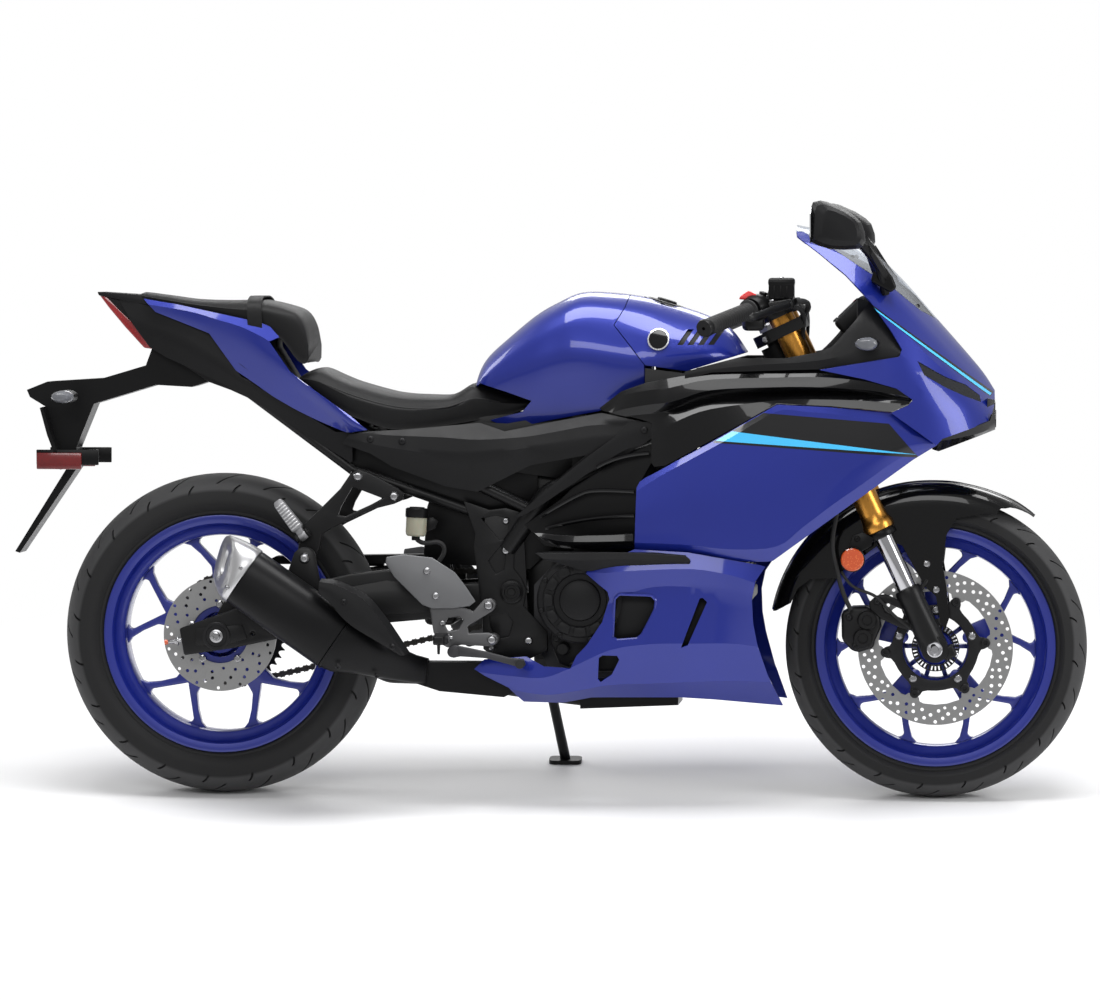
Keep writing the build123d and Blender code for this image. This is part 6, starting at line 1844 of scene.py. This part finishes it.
peg_rows = (("rider_peg", (444, -179, 313), (1, 0, 0), right, 86, 26, 20, frame_satin, "frame_black",
    grip_rubber, "rubber"), ("pillion_peg", (170, -142, 506), (0.8, 0, 0.6), (-0.6, 0, 0.8), 84, 24, 18,
    cast_alloy, "cast_alloy", bright_alloy, "cast_alloy"))
for name, base, axis, out, length, width, height, finish, slot, pad_finish, pad_slot in peg_rows:
    for side in (-1, 1):
        metal, pads = peg_meshes(peg_frame(base, axis, out), length, width, height)
        if name == "rider_peg":
            metal = joined(metal, rod((444, -256, 306), (444, -258, 286), 3.2, 2.6))
        for bm in (metal, pads):
            if side > 0:
                flip(bm)
        body = name + ("_right" if side < 0 else "_left")
        piece(body + "_metal", metal, finish, [body], body=body, slot=slot)
        piece(body + "_tread", pads, pad_finish, body=body, slot=pad_slot)
hanger_hole = pairs(264,600, 322,578, 300,566, 250,543, 236,545, 242,562)
hangers = plate(pairs(262,628, 276,635, 300,626, 352,598, 364,588, 360,574, 344,567, 300,556, 225,520,
    205,508, 200,480, 190,464, 170,464, 158,476, 160,500, 170,528, 200,556, 240,596), -126, -114, 3,
    [hanger_hole], 3)
hanger_ears = []
for s in (-1, 1):
    at = Vector((170, 0, 506)) + Vector((0.8, 0, 0.6)) * s * 11.1
    hanger_ears.append(block((at.x, -136, at.z), (5, 26, 17), 1, 2, tilted(-36.87)))
    hanger_ears.append(rod(at + Vector((-0.8 * 2.5, -142, -0.6 * 2.5)), at + Vector((0.8 * 2.5, -142,
        0.6 * 2.5)), 9))
bosses = [rod((x, -104.9, z), (x, -118, z), 8) for x, z in ((275, 620), (345, 582))]
pin = rod((170 - 0.8 * 15, -142, 506 - 0.6 * 15), (170 + 0.8 * 15, -142, 506 + 0.6 * 15), 4)
piece("pillion_hanger_castings", both(hangers, *hanger_ears, *bosses, pin), frame_satin, ["pillion_hangers"])

# %% Rear brake's fluid pot
pot = turned(pairs(0,0, 16,0, 19,3, 20,8, 20,36, 0,36), (388, -138, 506), (0.05, 0, 1), 36)
piece("rear_fluid_pot", pot, fluid_pot)
lid = turned(pairs(21,0, 22,2, 22,16, 19,18, 15,18, 14,20, 0,20), (389.8, -138, 542), (0.05, 0, 1), 36)
pot_stay = plate(pairs(404,512, 424,520, 430,534, 420,542, 404,540), -128, -124, 1)
piece("rear_fluid_pot_lid", joined(lid, pot_stay, rod((388, -138, 498), (388, -138, 508), 8)), dark_plastic)
piece("rear_brake_hose", tube([(390, -138, 500), (402, -138, 488), (428, -138, 500), (448, -136, 486),
    (440, -134, 464), (424, -134, 448)], 4.5, 10), grip_rubber)
reflector_mounts = both(block((-297, -83, 654), (122, 4, 30), 1.5))
piece("rear_reflector_mounts", reflector_mounts, dark_plastic)
piece("rear_reflectors", both(block((-313, -87, 647), (88, 5, 32), 2)), dark_red_lens)
stand_spring = [(624 + 0.25 * k + 7 * cos(k * pi / 3), 150 + 0.55 * k, 232 - 1.0 * k + 7 * sin(k * pi / 3))
    for k in range(60)]
piece("stand_spring", tube(stand_spring, 1.5, 6, 3), dark_steel, body="side_stand")

# %% [markdown]
# ## Front end
# Fork, fender, brake and handlebars turn with the steering. The fender is a sheet wrapped round the tyre
# and trimmed to its side outline; the gold tubes keep the frame's own shape and get collars, caps and
# seals.

# %% Fork
turned_parts, gold_parts, chrome_parts = [], [], []
for side in (-1, 1):
    foot = on_leg(0, side)
    profile = pairs(0,-18, 20,-18, 24,-8, 27,8, 26,30, 25,60, 24,96, 25,104, 26,122, 24,128, 18.6,129)
    turned_parts.append(turned(profile, foot, steer_up, 48))
    turned_parts.append(pin_across(front_axle, side * 71.5, side * 118, 26, bevel=2))
    turned_parts.append(block(front_axle + Vector((26, side * 95, -6)), (26, 40, 24), 4, 3, tilted(-25)))
    turned_parts.append(turned(pairs(18.7,236, 22,236, 26,240, 26.5,246, 25,250, 18.7,250), foot, steer_up,
        48))
    gold_parts.append(turned(pairs(25,250, 28.5,252, 29.5,258, 29.5,264, 27.5,270, 25.6,276, 25,284), foot,
        steer_up, 56))
    gold_parts.append(turned(pairs(25,690, 25.1,731, 24,734, 21,736, 12,736, 11,733, 0,733), foot, steer_up,
        48))
    chrome_parts.append(rod(foot + steer_up * 100, foot + steer_up * 330, 18.5))
piece("fork_castings", joined(*turned_parts), frame_satin, body="steering")
piece("fork_sliders", joined(*chrome_parts), chrome, ["fork_legs"], body="steering")
piece("fork_collars", joined(*gold_parts), gold_anodised, body="steering")
dress(gold_anodised, "fork_tubes")
nuts = []
for side in (-1, 1):
    nuts.append(turned(pairs(0,5, 7,5, 8,3, 13,4, 15,3, 15,0, 0,0), beside(front_axle, side * 118),
        (0, side, 0), 36))
    nuts.append(nut(on_leg(733, side), steer_up, 15, 7))
    nuts.append(bolt(front_axle + Vector((40, side * 95, -10)), (0.9, 0, -0.42), 6, 5))
    for s in (668, 686, 507, 524):
        nuts.append(bolt(on_leg(s, side) + Vector((-34.5, side * 8, 0)), (-0.906, 0, -0.42), 5, 5))
nuts.append(pin_across(front_axle, -71, 71, 12.5))
nuts += [pin_across(front_axle, side * 57, side * 70.5, 17) for side in (-1, 1)]
piece("front_axle_and_nuts", joined(*nuts), chrome, ["front_spindle"], body="steering")
stem_top = steer_point + steer_up * steer_up.dot(on_leg(690, 0) - steer_point)
stem_nut = turned(pairs(0,14, 9,14, 10,12, 17,12, 19,10, 19,0, 0,0), stem_top, steer_up, 6)
piece("steering_stem_nut", stem_nut, cast_alloy, body="steering")

# %% Front fender
fender_section = pairs(0,318, 18,317.6, 36,315, 52,308, 61,298, 61,298, 64.5,282, 66,262, 67,236, 70.5,150,
    71,30)
fender_rows = []
for degrees_round in range(48, 178, 7):
    a = radians(degrees_round)
    rise = max(0.0, sin(radians((degrees_round - 90) * 1.6)))
    droop = max(0.0, (66 - degrees_round) / 18) ** 2
    lift = 6 * rise - 5 * droop
    row = []
    for y, r in fender_section:
        reach = r + (lift if r > 240 else 0)
        row.append((front_axle.x + reach * cos(a), -y, front_axle.z + reach * sin(a)))
    fender_rows.append(row)
fender_side = pairs(1574,543, 1569,539, 1530,547, 1478,549, 1425,541, 1406,509, 1399,450, 1406,409, 1412,350,
    1404,326, 1394,341, 1386,391, 1366,408, 1342,450, 1321,488, 1290,500, 1250,470, 1212,446, 1195,424,
    1145,423, 1120,404, 1106,376, 1072,359, 1040,372, 1040,480, 1120,620, 1300,680, 1480,660, 1610,590)
fender = trim(sheet(fender_rows, 3, 2), fender_side)
trim(fender, pairs(1000,9, 1580,9, 1574,-12, 1556,-34, 1520,-58, 1470,-75, 1000,-90), second=1)
piece("front_fender_shell", mirrored(fender), gloss_black, ["front_fender"], body="steering", thickness=2.6,
    bevel=0.7)
fender_screws = bolts(right, (1368, -70.5, 453, 7, 4), (1386, -70.5, 403, 7, 4))
piece("front_fender_screws", both(fender_screws), zinc, body="steering")
fender_stays = [rod((1336, -65, 398), (1336, -71, 398), 8), rod((1376, -62, 430), (1352, -76, 400), 5)]
piece("front_fender_stays", both(*fender_stays), frame_satin, body="steering")

# %% Front brake
caliper_edge = pairs(1205,360, 1226,371, 1255,372, 1279,357, 1282,333, 1270,307, 1267,292, 1240,284,
    1226,286, 1206,308)
outer_half = plate(caliper_edge, -101, -66.5, 7, segments=3)
inner_half = plate(caliper_edge, -49.5, -36, 5, segments=3)
saddle = plate(pairs(1206,356, 1226,368, 1240,370, 1237,350, 1231,330, 1229,302, 1224,292, 1208,312), -72,
    -44, 2)
bosses = [turned(pairs(19,0, 19,7, 16.5,10, 10,10, 9,7, 0,7), (x, -99, z), right, 40)
    for x, z in ((1255, 346), (1247, 311))]
fins = [block((1213 + 1.5 * k, -84, 318 + 11 * k), (14, 30, 3.4), 1) for k in range(4)]
arm_outline = pairs(1346,372, 1354,345, 1340,326, 1322,330, 1282,348, 1262,362, 1258,380, 1272,393, 1290,396)
caliper_arm = plate(arm_outline, -101, -89, 3, [pairs(1332,362, 1330,346, 1290,362, 1284,374, 1292,380)], 3)
piece("front_caliper_castings", joined(outer_half, inner_half, saddle, *bosses, *fins, caliper_arm),
    frame_satin, ["front_caliper"], body="steering")
caliper_screws = bolts(right, (1274, -102, 382, 7, 5), (1342, -102, 338, 7, 5), (1220, -102, 352, 7, 5),
    (1232, -102, 296, 7, 5))
piece("front_caliper_screws", caliper_screws, dark_steel, body="steering")
brake_hose = tube([(1160, -60, 720), (1172, -96, 660), (1196, -112, 610), (1200, -118, 560),
    (1190, -120, 520), (1187, -120, 480), (1198, -118, 445), (1206, -114, 400), (1224, -110, 366)], 4.6, 10)
sensor_wire = tube([(1206, -112, 440), (1218, -112, 415), (1244, -108, 402), (1270, -108, 396),
    (1292, -106, 372), (1310, -104, 350), (1340, -100, 330)], 3, 8)
piece("front_brake_hoses", joined(brake_hose, sensor_wire), grip_rubber, body="steering")
pod_mesh = turned([(22, 0), (22, 6), (20, 8), (0, 8)], (1227, -118, 463), right, 40)
pod_rim = turned(pairs(0,0, 24,0, 24,6, 22.4,7, 22.4,3, 0,3), (1227, -116, 463), right, 40)
pod_stay = plate(pairs(1218,478, 1226,508, 1246,516, 1268,504, 1262,488, 1244,478, 1240,466, 1222,462), -116,
    -112, 1.2)
piece("fork_reflectors", both(pod_mesh), orange_lens, body="steering")
clamp_rings = rod(on_leg(238, -1), on_leg(248, -1), 27.5)
piece("fork_reflector_stays", both(pod_rim, pod_stay, clamp_rings, bolt((1236, -116, 503), right, 6, 4)),
    dark_plastic, body="steering")

# %% [markdown]
# ## Handlebars
# Each clip-on clamps round its fork tube. Grips are turned with shallow rings; the levers are tubes that
# swell into a ball at the tip. The master cylinder's box and the red switch are on the right only.

# %% Handlebars and grips
bar_bend, bar_end = Vector((1060, -165, 952)), Vector((954, -346.5, 907.6))
bar_way = (bar_end - bar_bend).normalized()
clamp = turned(pairs(25.2,0, 32,0, 33,3, 33,28, 31,32, 25.2,32), on_leg(703, -1), steer_up, 48)
clamp_lug = block(on_leg(718, -1) + Vector((-36, -10, -10)), (26, 26, 28), 4, 3, tilted(-25))
bar_tube = tube([tuple(on_leg(718, -1) + Vector((-8, -20, 0))), (1064, -150, 950), tuple(bar_bend),
    tuple(bar_bend + bar_way * 40), tuple(bar_end - bar_way * 10)], 11, 16, 3)
end_weight = turned(pairs(0,-16, 14,-16, 17,-13, 17.5,-4, 16,0, 3.4,0, 3.4,-14), bar_end, bar_way, 40)
piece("clip_on_bars", both(clamp, clamp_lug, bar_tube, end_weight), frame_satin, ["handlebars"],
    body="steering")
grip_from, grip_to = Vector((1033, -211, 940.7)), Vector((962, -333, 911))
grip_way, grip_length = (grip_to - grip_from).normalized(), (grip_to - grip_from).length
grip_profile = pairs(11.4,0, 21,0, 22,2, 21,4, 16.5,6)
for k in range(16):
    s = 9 + (grip_length - 16) * k / 16
    grip_profile += [(16.4, s), (15.6, s + 1.2), (15.6, s + 2.6), (16.4, s + 3.8)]
grip_profile += [(16.5, grip_length - 3), (15, grip_length), (11.4, grip_length)]
piece("ribbed_grips", both(turned(grip_profile, grip_from, grip_way, 40)), grip_rubber, ["grips"],
    body="steering")
housing = turned(pairs(12,-2, 21,0, 25,4, 26,14, 26,26, 22,33, 12,34), grip_from - grip_way * 40, grip_way,
    40)
housing_lobe = block((1040, -190, 924), (40, 30, 44), 9, 3, tilted(28, "Z"))
perch = block((1088, -186, 950), (56, 22, 20), 5, 3, tilted(-10))
perch_clamp = turned(pairs(11.5,0, 18,0, 19,2, 19,12, 18,14, 11.5,14), bar_bend + bar_way * 6, bar_way, 36)
piece("switch_housings", both(housing, housing_lobe, perch, perch_clamp), dark_plastic, ["controls"],
    body="steering")
lever_rows = []
lever_path = [(1112, -184, 954, 7, 8), (1104, -206, 952, 5, 9), (1092, -238, 947, 4.4, 8),
    (1074, -280, 940, 4.2, 7.4), (1056, -318, 933, 4.2, 6.6), (1050, -330, 931, 6.4, 7.4),
    (1046, -338, 929.6, 6.6, 7.4), (1043, -344, 928.6, 4, 4.4)]
for x, y, z, deep, high in lever_path:
    lever_rows.append([(x + deep * cos(a), y + 0.5 * deep * cos(a), z + high * sin(a)) for a in turns(16)])
piece("hand_levers", both(skin(lever_rows)), frame_satin, body="steering")
box = skin([[(x, y, z) for x, y in ((1069 + g, -194 + g), (1069 + g, -148 - g), (1117 - g, -148 - g),
    (1117 - g, -194 + g))] for z, g in ((962, 2), (966, 0), (990, 0), (992, -1), (1000, -0.5), (1003, 3))])
ease(box, 2)
box_ribs = [block((1080 + 12 * k, -194.4, 976), (2.4, 2, 24), 0.5) for k in range(3)]
piece("front_fluid_box", joined(box, *box_ribs, block((1092, -172, 956), (30, 24, 20), 4)), dark_plastic,
    body="steering")
piece("front_fluid_box_screws", joined(*[bolt((1093, y, 1002.5), (0, 0, 1), 3.6, 2.4) for y in (-186, -156)],
    *[bolt((1059, side * 109, 884), (-0.3, side, 0), 6, 4) for side in (-1, 1)]), zinc, body="steering")
switch = skin([[(x, y, z) for x, z in outline] for y, outline in ((-176, pairs(1016,962, 1020,968, 1034,976,
    1046,970, 1044,960)), (-200, pairs(1012,962, 1015,968, 1031,979, 1047,971, 1045,960)))])
ease(switch, 2.5)
piece("engine_stop_switch", switch, red_switch, body="steering")
switch_caps = [block((1024, -186, 930), (18, 20, 9), 2.5, 2, tilted(28, "Z")), rod((1056, -176, 966),
    (1058, -178, 976), 7)]
piece("switch_buttons", both(*switch_caps), black_plastic, body="steering")
loops = [tube([(1120, -176, 958), (1136, -160, 960), (1146, -140, 952), (1138, -118, 936), (1122, -104, 922),
    (1106, -78, 890), (1118, -58, 830)], 5.5, 10), tube([(1118, -150, 946), (1132, -136, 944),
    (1134, -120, 922), (1130, -106, 896), (1132, -92, 866), (1142, -76, 820), (1160, -60, 720)], 5, 10),
    tube([(1108, 176, 950), (1124, 160, 948), (1132, 138, 930), (1131, 116, 890), (1128, 92, 850),
    (1116, 60, 820)], 4, 10)]
piece("handlebar_hoses", joined(*loops), grip_rubber, body="steering")

# %% [markdown]
# ## Floor and sizes
# The floor is a plain pale sheet. The sizes of the dressed machine are measured at the end.

# %% Finish
floor_mesh = bpy.data.meshes.new("floor")
floor_bm = bmesh.new()
bmesh.ops.create_grid(floor_bm, x_segments=1, y_segments=1, size=14)
floor_bm.to_mesh(floor_mesh)
floor_bm.free()
floor = bpy.data.objects.new("floor", floor_mesh)
scene.collection.objects.link(floor)
floor_finish = Finish("pale floor", (0.86, 0.86, 0.87), 0.6).shade(0.01, 2)
floor_x, floor_y, _ = floor_finish.axes()
distance = floor_x.maths("SQRT", (floor_x - 0.65) * (floor_x - 0.65) + floor_y * floor_y)
fade = distance.maths("MULTIPLY", distance - 0.9, 0.9, clamp=True)
path = floor_finish.node("LightPath", {}, 0)
white = floor_finish.tree.nodes.new("ShaderNodeEmission")
floor_finish.blend_with(white, fade * path, False)
floor_mesh.materials.append(floor_finish.material)
floor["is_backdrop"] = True
low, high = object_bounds()
